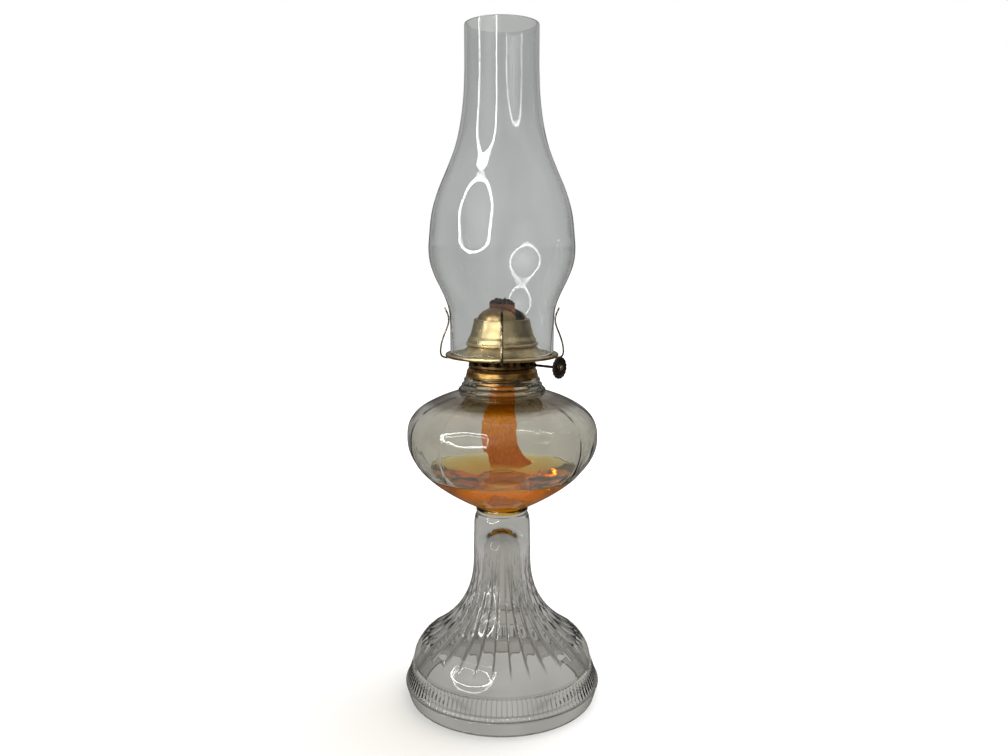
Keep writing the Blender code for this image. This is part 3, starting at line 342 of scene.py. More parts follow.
HEAT_STAIN = ((0.2868, WHITE), (0.2925, (0.62, 0.52, 0.42)), (0.2985, (0.34, 0.26, 0.20)))
# Painted shade on the foot glass by height: darker rim, dome and stem top, and dark lines at the tops of the
# rim and the band
RIM_TONE = (0.82, 0.82, 0.81)
BAND_TONE = (0.95, 0.95, 0.94)
DOME_TONE = (0.86, 0.86, 0.85)
STEM_TONE = (0.87, 0.87, 0.86)
FOOT_PAINTED_SHADE = (
    (0.0000, RIM_TONE), (0.0108, RIM_TONE), (0.0122, (0.27, 0.26, 0.24)), (0.0134, BAND_TONE),
    (0.0260, BAND_TONE), (0.0266, (0.50, 0.49, 0.46)), (0.0274, DOME_TONE), (0.0470, DOME_TONE),
    (0.0700, WHITE), (0.1150, WHITE), (0.1280, STEM_TONE),
)
# name, colour, painted shade where seen edge on, shade for lamps, IOR, (waves a metre, their depth), tint by
# height, painted shade in the valleys, wet
GLASSES = {
    "chimney": (
        "chimney_blown_glass", (0.955, 0.97, 0.97), (0.50, 0.51, 0.51), (0.93, 0.94, 0.94), GLASS_IOR,
        (30.0, 0.0003), CHIMNEY_SHADE,
    ),
    "bowl": (
        "bowl_pressed_glass", (0.915, 0.897, 0.822), (0.30, 0.28, 0.23), (0.90, 0.90, 0.87), GLASS_IOR,
        (70.0, 0.0003), NECK_PAINTED_SHADE,
    ),
    "bowl_wet": (
        "bowl_glass_under_oil", (1.0, 0.99, 0.96), (1.0, 0.99, 0.96), (0.90, 0.90, 0.87), GLASS_TO_OIL_IOR,
        (70.0, 0.0002), OIL_STAIN, None, True,
    ),
    "foot": (
        "foot_pressed_glass", (0.86, 0.855, 0.83), (0.36, 0.35, 0.33), (0.80, 0.80, 0.78), GLASS_IOR,
        (60.0, 0.00012), FOOT_PAINTED_SHADE, (0.08, 0.075, 0.07),
    ),
}

# Metals: name, (pale, mid, dark), (low, high) gloss, blotches a metre, stain
BRASS_PITS = 1400.0
BRASS_PIT_DEPTH = 0.00006
AGED = ((0.66, 0.52, 0.28), (0.50, 0.385, 0.19), (0.27, 0.205, 0.10))
SATIN = ((0.64, 0.41, 0.14), (0.48, 0.28, 0.085), (0.20, 0.11, 0.035))
# Painted shade: darker brass for the basket, standing in for the shade under the gallery
BASKET_SHADE_TONES = ((0.34, 0.21, 0.09), (0.20, 0.115, 0.045), (0.07, 0.04, 0.02))
PLATED = ((0.45, 0.33, 0.16), (0.30, 0.21, 0.09), (0.10, 0.065, 0.03))
WORN = ((0.50, 0.39, 0.25), (0.18, 0.14, 0.095), (0.055, 0.043, 0.032))
COPPERED = ((0.46, 0.25, 0.14), (0.28, 0.13, 0.07), (0.08, 0.04, 0.025))
WORN_STEEL = ((0.70, 0.62, 0.50), (0.50, 0.42, 0.32), (0.20, 0.15, 0.10))
BRASSES = {
    "collar": ("collar_satin_brass", SATIN, (0.26, 0.44), 130.0),
    "brass": ("burner_aged_brass", AGED, (0.25, 0.38), 90.0),
    "heated": ("deflector_heated_brass", AGED, (0.25, 0.38), 90.0, HEAT_STAIN),
    "basket": ("basket_browned_brass", BASKET_SHADE_TONES, (0.34, 0.50), 130.0),
    "plate": ("plate_aged_brass", PLATED, (0.35, 0.55), 130.0),
    "prong": ("prong_worn_brass", WORN, (0.20, 0.36), 220.0),
    "copper": ("tube_coppered_brass", COPPERED, (0.30, 0.50), 200.0),
    "rivet": ("rivet_worn_steel", WORN_STEEL, (0.20, 0.40), 500.0),
}

# Dull surfaces: name, pale, dark, roughness, mottles a metre, dents' depth, metal
DARK_STEEL = ("spindle_dark_steel", (0.060, 0.040, 0.028), (0.020, 0.014, 0.010), 0.40, 420.0, 0.00008, 0.8)
CEMENT = ("cement_plaster", (0.66, 0.61, 0.52), (0.50, 0.45, 0.37), 0.90, 380.0, 0.0002)

# Cotton, and the heights between which each look takes over from the one before
COTTON_DRY = ((0.30, (0.46, 0.15, 0.003)), (0.70, (0.74, 0.27, 0.006)))
COTTON_SOAKED = ((0.30, (0.30, 0.072, 0.001)), (0.70, (0.48, 0.13, 0.002)))
COTTON_OILED = (0.44, 0.235, 0.03)
COTTON_SCORCHED = (0.20, 0.085, 0.050)
COTTON_CRUST = ((0.40, (0.010, 0.009, 0.008)), (0.70, (0.085, 0.066, 0.054)))
SOAKED_HEIGHTS = (0.215, 0.185)
OILED_HEIGHTS = (0.1790, 0.1750)
SCORCHED_HEIGHTS = (0.2935, 0.2975)
CRUST_HEIGHTS = (0.2985, 0.3020)

# CAD nodes that are shown as they are
CARRIED_NODES = {
    "collar_cement": "cement",
    "base_plate": "plate",
    "diffuser_plate": "plate",
    "wick_tube": "copper",
    "vent_tube": "plate",
    "spindle_sleeve": "brass",
    "wick_spindle": "dark",
    "ratchet_wheel_left": "dark",
    "ratchet_wheel_right": "dark",
    "thumbwheel_rivet": "rivet",
}

WICK_ANGLE = math.radians(WICK_AZIMUTH_DEG)
WICK_ALONG = Vector((math.cos(WICK_ANGLE), math.sin(WICK_ANGLE), 0))
WICK_ACROSS = Vector((-math.sin(WICK_ANGLE), math.cos(WICK_ANGLE), 0))


def blend(first, second, share):
    return first + (second - first) * share


def blend_colour(first, second, share):
    return tuple(blend(a, b, share) for a, b in zip(first, second))


def ease(share):
    share = min(max(share, 0.0), 1.0)
    return share * share * (3 - 2 * share)


def spread(count):
    return [step / (count - 1) for step in range(count)]


def groove(turns):
    return (1 - abs(math.sin(math.pi * turns))) ** 2


def interpolate(table, share):
    """A smooth curve through a table of (share, value) rows."""
    places = [row[0] for row in table]
    values = [row[1] for row in table]
    last = len(table) - 1
    slopes = []
    for index in range(last + 1):
        before = max(index - 1, 0)
        after = min(index + 1, last)
        slopes.append((values[after] - values[before]) / (places[after] - places[before]))
    index = 0
    while index < last - 1 and share > places[index + 1]:
        index += 1
    span = places[index + 1] - places[index]
    t = (share - places[index]) / span
    return (
        values[index] * (1 + 2 * t) * (1 - t) ** 2
        + values[index + 1] * t * t * (3 - 2 * t)
        + slopes[index] * span * t * (1 - t) ** 2
        - slopes[index + 1] * span * t * t * (1 - t)
    )


# Meshes


def placed(name, data):
    """An object in the scene."""
    made = bpy.data.objects.new(name, data)
    bpy.context.collection.objects.link(made)
    return made


def mesh_data(name, mesh):
    data = bpy.data.meshes.new(name)
    mesh.to_mesh(data)
    mesh.free()
    return data


def turned_rows(columns, outline, start=0.0):
    """Rows of points round the axis. A reach is a radius, or a function of the share of a turn."""
    rows = []
    for reach, height in outline:
        row = []
        for step in range(columns):
            turn = step / columns
            radius = reach(turn) if callable(reach) else reach
            angle = start + 2 * math.pi * turn
            row.append((radius * math.cos(angle), radius * math.sin(angle), height))
        rows.append(row)
    return rows


def surface(name, rows, closed, sharp_deg=SHARP_DEG):
    """A smooth piece over rows of points, each once round it. A row of one point is a pole."""
    points = []
    faces = []
    starts = []
    for row in rows:
        starts.append(len(points))
        points.extend(row)
    pairs = list(zip(range(len(rows) - 1), range(1, len(rows))))
    if closed:
        pairs.append((len(rows) - 1, 0))
    for first, second in pairs:
        count = max(len(rows[first]), len(rows[second]))
        for index in range(count):
            after = (index + 1) % count
            low = [starts[first] + i % len(rows[first]) for i in (index, after)]
            high = [starts[second] + i % len(rows[second]) for i in (after, index)]
            faces.append(tuple(dict.fromkeys(low + high)))
    data = bpy.data.meshes.new(name)
    data.from_pydata(points, [], faces)
    mesh = bmesh.new()
    mesh.from_mesh(data)
    bmesh.ops.recalc_face_normals(mesh, faces=mesh.faces)
    mesh.to_mesh(data)
    mesh.free()
    data.shade_smooth()
    data.set_sharp_from_angle(angle=math.radians(sharp_deg))
    return placed(name, data)


def turned(name, outline, columns=METAL_COLUMNS, sharp_deg=SHARP_DEG):
    """Turn a closed outline of (reach, height) points."""
    return surface(name, turned_rows(columns, outline), True, sharp_deg)


def capped(rows):
    """Close both ends of rows with a pole in the middle of the last row."""
    ends = [sum(rows[end], Vector()) / len(rows[end]) for end in (0, -1)]
    return [[ends[0]], *rows, [ends[1]]]


def arc(radius, height, size, start_deg, end_deg, count):
    points = []
    for share in spread(count):
        angle = math.radians(blend(start_deg, end_deg, share))
        points.append((radius + size * math.cos(angle), height + size * math.sin(angle)))
    return points


def settled(made):
    """Apply the modifiers of a piece."""
    graph = bpy.context.evaluated_depsgraph_get()
    data = bpy.data.meshes.new_from_object(made.evaluated_get(graph))
    made.modifiers.clear()
    made.data = data


def cut_away(made, mesh):
    """Cut the space of a closed bmesh out of a piece."""
    cutter = placed("cutter", mesh_data("cutter", mesh))
    cut = made.modifiers.new("cut", "BOOLEAN")
    cut.operation = "DIFFERENCE"
    cut.solver = "EXACT"
    cut.object = cutter
    settled(made)
    bpy.data.objects.remove(cutter)
    made.data.set_sharp_from_angle(angle=math.radians(SHARP_DEG))


def dress(made, finish, body, slot, *nodes):
    """Give a piece its finish, its body and the CAD nodes that it stands for."""
    for each in finish if isinstance(finish, tuple) else (finish,):
        made.data.materials.append(each)
    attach(made, body)
    if nodes:
        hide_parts(*nodes)


# Nodes


def fill(tree, node, inputs):
    """Link or set a node's inputs."""
    for key, value in inputs.items():
        if isinstance(value, bpy.types.NodeSocket):
            tree.links.new(value, node.inputs[key])
        else:
            node.inputs[key].default_value = value


def add_node(tree, kind, inputs=None, **settings):
    made = tree.nodes.new(f"ShaderNode{kind}")
    for name, value in settings.items():
        setattr(made, name, value)
    fill(tree, made, inputs or {})
    return made


def maths(tree, operation, *values):
    return add_node(tree, "Math", dict(enumerate(values)), operation=operation).outputs[0]


def ranged(tree, factor, low, high, start=0.3, end=0.7):
    """A factor between start and end, brought between low and high."""
    inputs = {"Value": factor, "From Min": start, "From Max": end, "To Min": low, "To Max": high}
    return add_node(tree, "MapRange", inputs).outputs["Result"]


def speckle(tree, place, scale, detail=3.0, stretch=None):
    """Noise at a scale in waves per metre, as a factor."""
    if stretch:
        place = add_node(tree, "Mapping", {"Vector": place, "Scale": stretch}).outputs["Vector"]
    return add_node(tree, "TexNoise", {"Vector": place, "Scale": scale, "Detail": detail}).outputs["Fac"]


def graded(tree, factor, stops):
    """A colour ramp of (place, colour) stops."""
    made = add_node(tree, "ValToRGB", {"Fac": factor})
    ramp = made.color_ramp
    for place, colour in stops[2:]:
        ramp.elements.new(place)
    for element, (place, colour) in zip(ramp.elements, stops):
        element.position = place
        element.color = (*colour, 1.0)
    return made.outputs["Color"]


def layered(tree, factor, under, over):
    """Two colours mixed by a factor."""
    sides = [value if isinstance(value, bpy.types.NodeSocket) else (*value, 1.0) for value in (under, over)]
    return add_node(tree, "Mix", {0: factor, 6: sides[0], 7: sides[1]}, data_type="RGBA").outputs[2]


def multiplied(tree, first, second):
    inputs = {0: 1.0, 6: first, 7: second}
    return add_node(tree, "Mix", inputs, data_type="RGBA", blend_type="MULTIPLY").outputs[2]


def distance(tree):
    """The distance from the piece's middle."""
    place = add_node(tree, "TexCoord").outputs["Object"]
    return add_node(tree, "VectorMath", {0: place}, operation="LENGTH").outputs["Value"]


def height_in(tree, place, low, high):
    """0 at one height of the piece and 1 at another."""
    height = add_node(tree, "SeparateXYZ", {"Vector": place}).outputs["Z"]
    return ranged(tree, height, 0.0, 1.0, low, high)


def tinted_by_height(tree, place, height_tint):
    """A tint that changes with the height, from (height, colour) stops."""
    low, high = height_tint[0][0], height_tint[-1][0]
    stops = [((height - low) / (high - low), colour) for height, colour in height_tint]
    return graded(tree, height_in(tree, place, low, high), stops)


def mixed(tree, share, first, second):
    """Two shaders mixed by a share."""
    return add_node(tree, "MixShader", {0: share, 1: first, 2: second}).outputs[0]


def transparent(tree, colour=(1.0, 1.0, 1.0, 1.0)):
    return add_node(tree, "BsdfTransparent", {"Color": colour}).outputs[0]


def shown(tree, shader=None):
    """Give a material's surface a shader, or tell which it has."""
    surface_input = tree.nodes["Material Output"].inputs["Surface"]
    if shader is None:
        return surface_input.links[0].from_socket
    tree.links.new(shader, surface_input)


def start_material(name, roughness, metallic=0.0):
    made = bpy.data.materials.new(name)
    made.use_nodes = True
    tree = made.node_tree
    shader = tree.nodes["Principled BSDF"]
    fill(tree, shader, {"Roughness": roughness, "Metallic": metallic})
    place = add_node(tree, "TexCoord").outputs["Object"]
    return made, tree, shader, place


def dented(tree, shader, height, depth):
    """Bump a surface by a height factor, to a depth in metres."""
    bump = add_node(tree, "Bump", {"Height": height, "Distance": depth, "Strength": 1.0})
    fill(tree, shader, {"Normal": bump.outputs["Normal"]})


def let_lamps_through(tree, shader, shade):
    """Rays from lamps and soft light pass a glass wall straight, a little dimmed."""
    path = add_node(tree, "LightPath").outputs
    either = maths(tree, "MAXIMUM", path["Is Shadow Ray"], path["Is Diffuse Ray"])
    shown(tree, mixed(tree, either, shader.outputs["BSDF"], transparent(tree, (*shade, 1.0))))


def painted_valley_shade(tree, place, count, width_share, foot, head, foot_fade, head_fade):
    """Painted shade: thin dark lines in the valleys between flutes or ribs round the foot, fading out at both
    ends.
    """
    split = add_node(tree, "SeparateXYZ", {"Vector": place}).outputs
    turns = maths(tree, "MULTIPLY", maths(tree, "ARCTAN2", split["Y"], split["X"]), count / 2)
    lobe = maths(tree, "ABSOLUTE", maths(tree, "SINE", turns))
    line = ranged(tree, lobe, 1.0, 0.0, 0.0, width_share)
    low = ranged(tree, split["Z"], 0.0, 1.0, foot, foot + foot_fade)
    high = ranged(tree, split["Z"], 1.0, 0.0, head - head_fade, head)
    return maths(tree, "MULTIPLY", line, maths(tree, "MULTIPLY", low, high))


# Materials


def glass_material(name, clear, painted_edge_shade, shade, ior, waves, height_tint=None, valley_shade_colour=None, wet=False):
    """Clear glass with faint streaks and painted shade where it is seen edge on, that lets lamps through.

    Wet glass lets every ray but the camera's own pass unbent, as the oil behind it bends light back.
    """
    made, tree, shader, place = start_material(name, 0.0)
    streaks = speckle(tree, place, *GLASS_STREAKS)
    body = graded(tree, streaks, ((0.35, blend_colour(clear, painted_edge_shade, 0.2)), (0.65, clear)))
    # Painted shade: seen edge on, the colour goes over to the darker one, standing in for dark surroundings
    # that the glass bends into view
    edge = add_node(tree, "LayerWeight", {"Blend": 0.5}).outputs["Facing"]
    tone = layered(tree, ranged(tree, edge, 0.0, 1.0, 0.55, 1.0), body, painted_edge_shade)
    # Tint by height: painted shade on the bowl's neck and on the foot, darker high on the chimney, and the
    # oil's colour on the glass under it
    if height_tint:
        tone = multiplied(tree, tone, tinted_by_height(tree, place, height_tint))
    # Painted shade in the flute valleys, and paler in the rib valleys
    if valley_shade_colour:
        tone = layered(tree, painted_valley_shade(tree, place, FLUTE_COUNT, *FLUTE_VALLEY_SHADE), tone, valley_shade_colour)
        rib_shade = painted_valley_shade(tree, place, RIB_COUNT, *RIB_VALLEY_SHADE)
        tone = layered(tree, rib_shade, tone, blend_colour(valley_shade_colour, clear, RIB_VALLEY_SHADE_PALENESS))
    smear = speckle(tree, place, *GLASS_SMEAR)
    roughness = ranged(tree, smear, 0.0, GLASS_ROUGHNESS, 0.5, 0.8)
    fill(tree, shader, {"Base Color": tone, "Transmission Weight": 1.0, "IOR": ior, "Roughness": roughness})
    dented(tree, shader, speckle(tree, place, waves[0], 1.0), waves[1])
    let_lamps_through(tree, shader, shade)
    if wet:
        seen = add_node(tree, "LightPath").outputs["Is Camera Ray"]
        shown(tree, mixed(tree, seen, transparent(tree, tone), shown(tree)))
    return made


def brass_material(name, tones, gloss, blotch, height_tint=None):
    """Aged brass: bright and tarnished blotches, fine pits and, with a stain, a tint by height."""
    made, tree, shader, place = start_material(name, gloss[0], 1.0)
    pale, mid, dark = tones
    blotches = speckle(tree, place, blotch, 6.0)
    pits = speckle(tree, place, BRASS_PITS, 4.0)
    tone = graded(tree, blotches, ((0.34, dark), (0.50, mid), (0.64, pale)))
    if height_tint:
        tone = multiplied(tree, tone, tinted_by_height(tree, place, height_tint))
    tone = layered(tree, ranged(tree, pits, 0.0, 0.75, 0.56, 0.72), tone, dark)
    fill(tree, shader, {"Base Color": tone, "Roughness": ranged(tree, blotches, gloss[1], gloss[0])})
    dented(tree, shader, pits, BRASS_PIT_DEPTH)
    return made


def matt_material(name, pale, dark, roughness, scale, dent, metallic=0.0):
    """A dull surface with mottled colour."""
    made, tree, shader, place = start_material(name, roughness, metallic)
    mottle = speckle(tree, place, scale, 6.0)
    tone = graded(tree, mottle, ((0.35, dark), (0.65, pale)))
    grade = ranged(tree, mottle, roughness * 0.8, min(roughness * 1.2, 1.0))
    fill(tree, shader, {"Base Color": tone, "Roughness": grade})
    dented(tree, shader, speckle(tree, place, scale * 6, 3.0), dent)
    return made


def wick_material():
    """Orange cotton, fibrous, scorched red-brown and then black at its top."""
    made, tree, shader, place = start_material("wick_cotton_woven", 0.95)
    fibres = speckle(tree, place, 900.0, 5.0, (1.0, 1.0, 0.3))
    patches = speckle(tree, place, 140.0, 3.0)
    tone = graded(tree, fibres, COTTON_DRY)
    soaked = graded(tree, fibres, COTTON_SOAKED)
    tone = layered(tree, height_in(tree, place, *SOAKED_HEIGHTS), tone, soaked)
    tone = layered(tree, height_in(tree, place, *OILED_HEIGHTS), tone, COTTON_OILED)
    tone = layered(tree, height_in(tree, place, *SCORCHED_HEIGHTS), tone, COTTON_SCORCHED)
    jagged = maths(tree, "MULTIPLY_ADD", patches, 0.8, height_in(tree, place, *CRUST_HEIGHTS))
    tone = layered(tree, ranged(tree, jagged, 0.0, 1.0, 0.7, 1.0), tone, graded(tree, fibres, COTTON_CRUST))
    fill(tree, shader, {"Base Color": tone, "Specular IOR Level": 0.2})
    dented(tree, shader, fibres, 0.0003)
    return made


def oil_material():
    """Lamp oil, whose colour deepens with the way that light takes through it.

    Only its surface bends light. Its sides are open: the glass round them does the rest.
    """
    made, tree, shader, place = start_material("lamp_oil", 0.0)
    drift = speckle(tree, place, 45.0, 2.0)
    tone = graded(tree, drift, ((0.35, OIL_BODY), (0.65, blend_colour(OIL_BODY, OIL_TINT, 0.25))))
    fill(tree, shader, {"Base Color": tone, "Transmission Weight": OIL_CLEAR_SHARE, "IOR": OIL_IOR})
    dented(tree, shader, drift, 0.0001)
    let_lamps_through(tree, shader, OIL_TINT)
    surface_foot = OIL_LEVEL - OIL_MENISCUS * 1.1
    top = height_in(tree, place, surface_foot - OIL_GAP, surface_foot)
    shown(tree, mixed(tree, top, transparent(tree), shown(tree)))
    depth = add_node(tree, "VolumeAbsorption", {"Color": OIL_COLOUR, "Density": OIL_DENSITY})
    tree.links.new(depth.outputs["Volume"], tree.nodes["Material Output"].inputs["Volume"])
    return made


def make_materials():
    finishes = {name: glass_material(*row) for name, row in GLASSES.items()}
    finishes.update({name: brass_material(*row) for name, row in BRASSES.items()})
    finishes["dark"] = matt_material(*DARK_STEEL)
    finishes["cement"] = matt_material(*CEMENT)
    finishes["wick"] = wick_material()
    finishes["oil"] = oil_material()
    return finishes


# Glass pieces


def flare_radius(share, foot, top):
    return blend(top, foot, (1 - share) ** FLARE_POWER)


def fluted(reach, share):
    """The fluted skirt's radius round a turn. Below the skirt share is negative, and the flutes run out."""
    fade = 1 - ease(-share / FLUTE_RUN_OUT_SHARE) if share < 0 else (1 - share) ** FLUTE_FADE_POWER

    def radius(turn):
        lobe = abs(math.sin(math.pi * turn * FLUTE_COUNT))
        return reach - FLUTE_DEPTH * fade * (1 - lobe) ** FLUTE_EDGE_POWER

    return radius


def ribbed(reach, fade):
    return lambda turn: reach - RIB_DEPTH * fade * groove(turn * RIB_COUNT)


def swelling(foot, head, swell, share):
    return blend(foot, head, share) + swell * 4 * share * (1 - share)


def pedestal_outside():
    shoulder = PEDESTAL_HEIGHT - STEM_SHOULDER_HEIGHT
    outline = []
    for share in spread(9):
        angle = share * math.pi / 2
        reach = blend(STEM_TOP_RADIUS, STEM_RADIUS, math.sin(angle))
        outline.append((reach, shoulder + STEM_SHOULDER_HEIGHT * math.cos(angle)))
    for part in reversed(spread(37)):
        share = part ** 1.5
        reach = flare_radius(share, SHOULDER_RADIUS, STEM_FOOT_RADIUS)
        outline.append((fluted(reach, share), blend(SHOULDER_HEIGHT, FLUTE_TOP_HEIGHT, share)))
    dome_foot = BAND_TOP_RADIUS - BAND_STEP
    for share in spread(29)[1:]:
        reach = swelling(SHOULDER_RADIUS, dome_foot, SHOULDER_SWELL, share)
        outline.append((fluted(reach, -share), blend(SHOULDER_HEIGHT, BAND_TOP_HEIGHT, share)))
    band_top = BAND_TOP_HEIGHT - BAND_STEP
    band_foot_radius = RIM_RADIUS - BAND_STEP
    outline.append((dome_foot - NOTCH_DEPTH, BAND_TOP_HEIGHT - BAND_STEP * 0.5))
    outline.append((BAND_TOP_RADIUS, band_top))
    for share in spread(11)[1:-1]:
        drop = (band_top - RIM_HEIGHT) * share
        fade = ease(min(drop, band_top - RIM_HEIGHT - drop) / RIB_MARGIN)
        outline.append((ribbed(blend(BAND_TOP_RADIUS, band_foot_radius, share), fade), band_top - drop))
    outline.append((band_foot_radius, RIM_HEIGHT + NOTCH_DEPTH * 2))
    outline.append((band_foot_radius - NOTCH_DEPTH, RIM_HEIGHT + NOTCH_DEPTH))
    outline.append((band_foot_radius - NOTCH_DEPTH, RIM_HEIGHT))
    return outline + arc(RIM_RADIUS - RIM_ROUNDING, RIM_HEIGHT - RIM_ROUNDING, RIM_ROUNDING, 80, -20, 6)


def pedestal_inside():
    underside = RIM_RADIUS - RIM_UNDERCUT
    outline = arc(underside - UNDERSIDE_BEVEL, UNDERSIDE_ROUNDING, UNDERSIDE_ROUNDING, -10, -90, 5)
    outline.append((underside - FOOT_WALL, 0.0))
    outline.append((underside - FOOT_WALL - INNER_BEVEL, INNER_BEVEL))
    hollow_foot = SHOULDER_RADIUS - HOLLOW_SHOULDER_WALL
    for share in spread(17)[:-1]:
        reach = swelling(BAND_TOP_RADIUS - FOOT_WALL, hollow_foot, HOLLOW_SWELL, share)
        outline.append((reach, blend(BAND_TOP_HEIGHT, SHOULDER_HEIGHT, share)))
    for part in spread(19):
        share = part ** 1.4
        reach = flare_radius(share, hollow_foot, HOLLOW_STEM_RADIUS)
        outline.append((reach, blend(SHOULDER_HEIGHT, FLUTE_TOP_HEIGHT, share)))
    dome_height = HOLLOW_TOP_HEIGHT - FLUTE_TOP_HEIGHT
    for share in spread(10)[1:-1]:
        angle = share * math.pi / 2
        height = FLUTE_TOP_HEIGHT + dome_height * math.sin(angle)
        outline.append((HOLLOW_STEM_RADIUS * math.cos(angle), height))
    return outline


def make_pedestal(finishes):
    rows = turned_rows(PEDESTAL_COLUMNS, pedestal_outside() + pedestal_inside())
    rows = [[(0.0, 0.0, PEDESTAL_HEIGHT)], *rows, [(0.0, 0.0, HOLLOW_TOP_HEIGHT)]]
    made = surface("pedestal_pressed", rows, False)
    dress(made, finishes["foot"], "lamp_base", "pressed_glass", "pedestal")


def bowl_point(share, middle_radius, low, low_radius, high, high_radius):
    if share < 0:
        reach = blend(middle_radius, low_radius, abs(share) ** BOWL_LOWER_POWER)
        return reach, blend(BOWL_MIDDLE, low, -share)
    reach = blend(middle_radius, high_radius, share ** BOWL_UPPER_POWER)
    return reach, blend(BOWL_MIDDLE, high, share)


def panel_sink(turn, share):
    """How far into a round-cornered panel a point of the bowl is, from 0 to 1."""
    across = abs(2 * (turn * PANEL_COUNT % 1) - 1) / PANEL_WIDTH_SHARE
    foot = PANEL_FOOT_SHARE - 1
    rise = abs(2 * share - foot - PANEL_HEAD_SHARE) / (PANEL_HEAD_SHARE - foot)
    soft = ease((1 - across) / PANEL_SIDE_SHARE) * ease((1 - rise) / PANEL_END_SHARE)
    crisp = ease((1 - across ** PANEL_CORNER_POWER - rise ** PANEL_CORNER_POWER) / PANEL_CRISPNESS)
    depth = blend(1.0, PANEL_TOP_SHARE, ease((share - foot) / (PANEL_HEAD_SHARE - foot)))
    return depth * blend(soft, crisp, PANEL_CRISP_SHARE)


def panelled(reach, share, depth):
    return lambda turn: reach - depth * panel_sink(turn, share)


def font_outline():
    outline = []
    for share in spread(7):
        reach = FONT_RING_RADIUS + FONT_RING_SWELL * math.sin(share * math.pi)
        outline.append((reach, blend(FONT_BASE, BOWL_BASE, share)))
    outside = (BOWL_RADIUS, BOWL_BASE, FONT_RING_RADIUS, NECK_BASE, NECK_RING_RADII[0])
    for step in range(1, 92):
        share = step / 46 - 1
        reach, height = bowl_point(share, *outside)
        outline.append((panelled(reach, share, PANEL_DEPTH), height))
    for index, reach in enumerate(NECK_RING_RADII):
        foot = NECK_BASE + NECK_RING_HEIGHT * index
        for share in spread(9)[:-1]:
            drawn_in = interpolate(NECK_RING_PROFILE, share)
            outline.append((reach - NECK_GROOVE_DEPTH * drawn_in, foot + NECK_RING_HEIGHT * share))
    outline.append((NECK_LIP_RADIUS, NECK_TOP))
    outline.append((NECK_LIP_RADIUS - COLLAR_SHEET, NECK_LIP_TOP))
    outline.append((LIP_BORE_RADIUS, NECK_LIP_TOP))
    outline.append((LIP_BORE_RADIUS, NECK_SHELF))
    outline.append((NECK_BORE_RADIUS, NECK_SHELF))
    for step in reversed(range(61)):
        share = step / 30 - 1
        reach, height = bowl_point(share, *BOWL_INSIDE)
        outline.append((panelled(reach, share, PANEL_DEPTH_INSIDE), height))
    return outline


def inside_radius(height):
    """The bowl's inner radius at a height below its middle."""
    middle_radius, floor, floor_radius = BOWL_INSIDE[:3]
    share = (BOWL_MIDDLE - height) / (BOWL_MIDDLE - floor)
    return blend(middle_radius, floor_radius, share ** BOWL_LOWER_POWER)


def make_font(finishes):
    rows = turned_rows(FONT_COLUMNS, font_outline(), PANEL_START)
    rows = [[(0.0, 0.0, FONT_BASE)], *rows, [(0.0, 0.0, BOWL_FLOOR_HEIGHT)]]
    made = surface("font_pressed", rows, False)
    dress(made, (finishes["bowl"], finishes["bowl_wet"]), "lamp_base", "pressed_glass", "font")
    for face in made.data.polygons:
        x, y, z = face.center
        deep = BOWL_BASE + BOWL_FLOOR * 0.9 < z < OIL_LEVEL
        face.material_index = int(deep and math.hypot(x, y) < inside_radius(z) + WET_MARGIN)


def oil_edge(height, reach_share):
    """How far the oil reaches at a height, as a share of the way to the glass."""
    clear = inside_radius(height) - OIL_GAP
    share = (height - BOWL_MIDDLE) / (BOWL_MIDDLE - BOWL_BASE - BOWL_FLOOR)
    return lambda turn: reach_share * (clear - PANEL_DEPTH_INSIDE * panel_sink(turn, share))


def make_oil(finishes):
    """The oil in the bowl, with its surface drawn up a little at the glass."""
    floor = BOWL_BASE + BOWL_FLOOR + OIL_GAP
    heights = [blend(floor, OIL_LEVEL, share) for share in spread(33)]
    outline = [(oil_edge(height, 1.0), height) for height in heights]
    for share in OIL_SURFACE_SHARES:
        drop = OIL_MENISCUS * (1 - math.exp(-(1 - share) * OIL_MENISCUS_STEEPNESS))
        outline.append((oil_edge(OIL_LEVEL, share), OIL_LEVEL - drop))
    rows = turned_rows(FONT_COLUMNS, outline, PANEL_START)
    rows = [[(0.0, 0.0, floor)], *rows, [(0.0, 0.0, OIL_LEVEL - OIL_MENISCUS)]]
    dress(surface("oil", rows, False), finishes["oil"], "lamp_base", "pressed_glass")


def chimney_radius(height):
    if height <= CHIMNEY_STRAIGHT_HEIGHT:
        return CHIMNEY_BASE_RADIUS
    if height <= CHIMNEY_BULGE_HEIGHT:
        swell = CHIMNEY_BULGE_HEIGHT - CHIMNEY_STRAIGHT_HEIGHT
        share = interpolate(SWELL_SHARES, (height - CHIMNEY_STRAIGHT_HEIGHT) / swell)
        return blend(CHIMNEY_BASE_RADIUS, CHIMNEY_BULGE_RADIUS, share)
    if height <= CHIMNEY_NECK_HEIGHT:
        shoulder = CHIMNEY_NECK_HEIGHT - CHIMNEY_BULGE_HEIGHT
        share = interpolate(SHOULDER_SHARES, (height - CHIMNEY_BULGE_HEIGHT) / shoulder)
        return blend(CHIMNEY_NECK_RADIUS, CHIMNEY_BULGE_RADIUS, share)
    return CHIMNEY_NECK_RADIUS


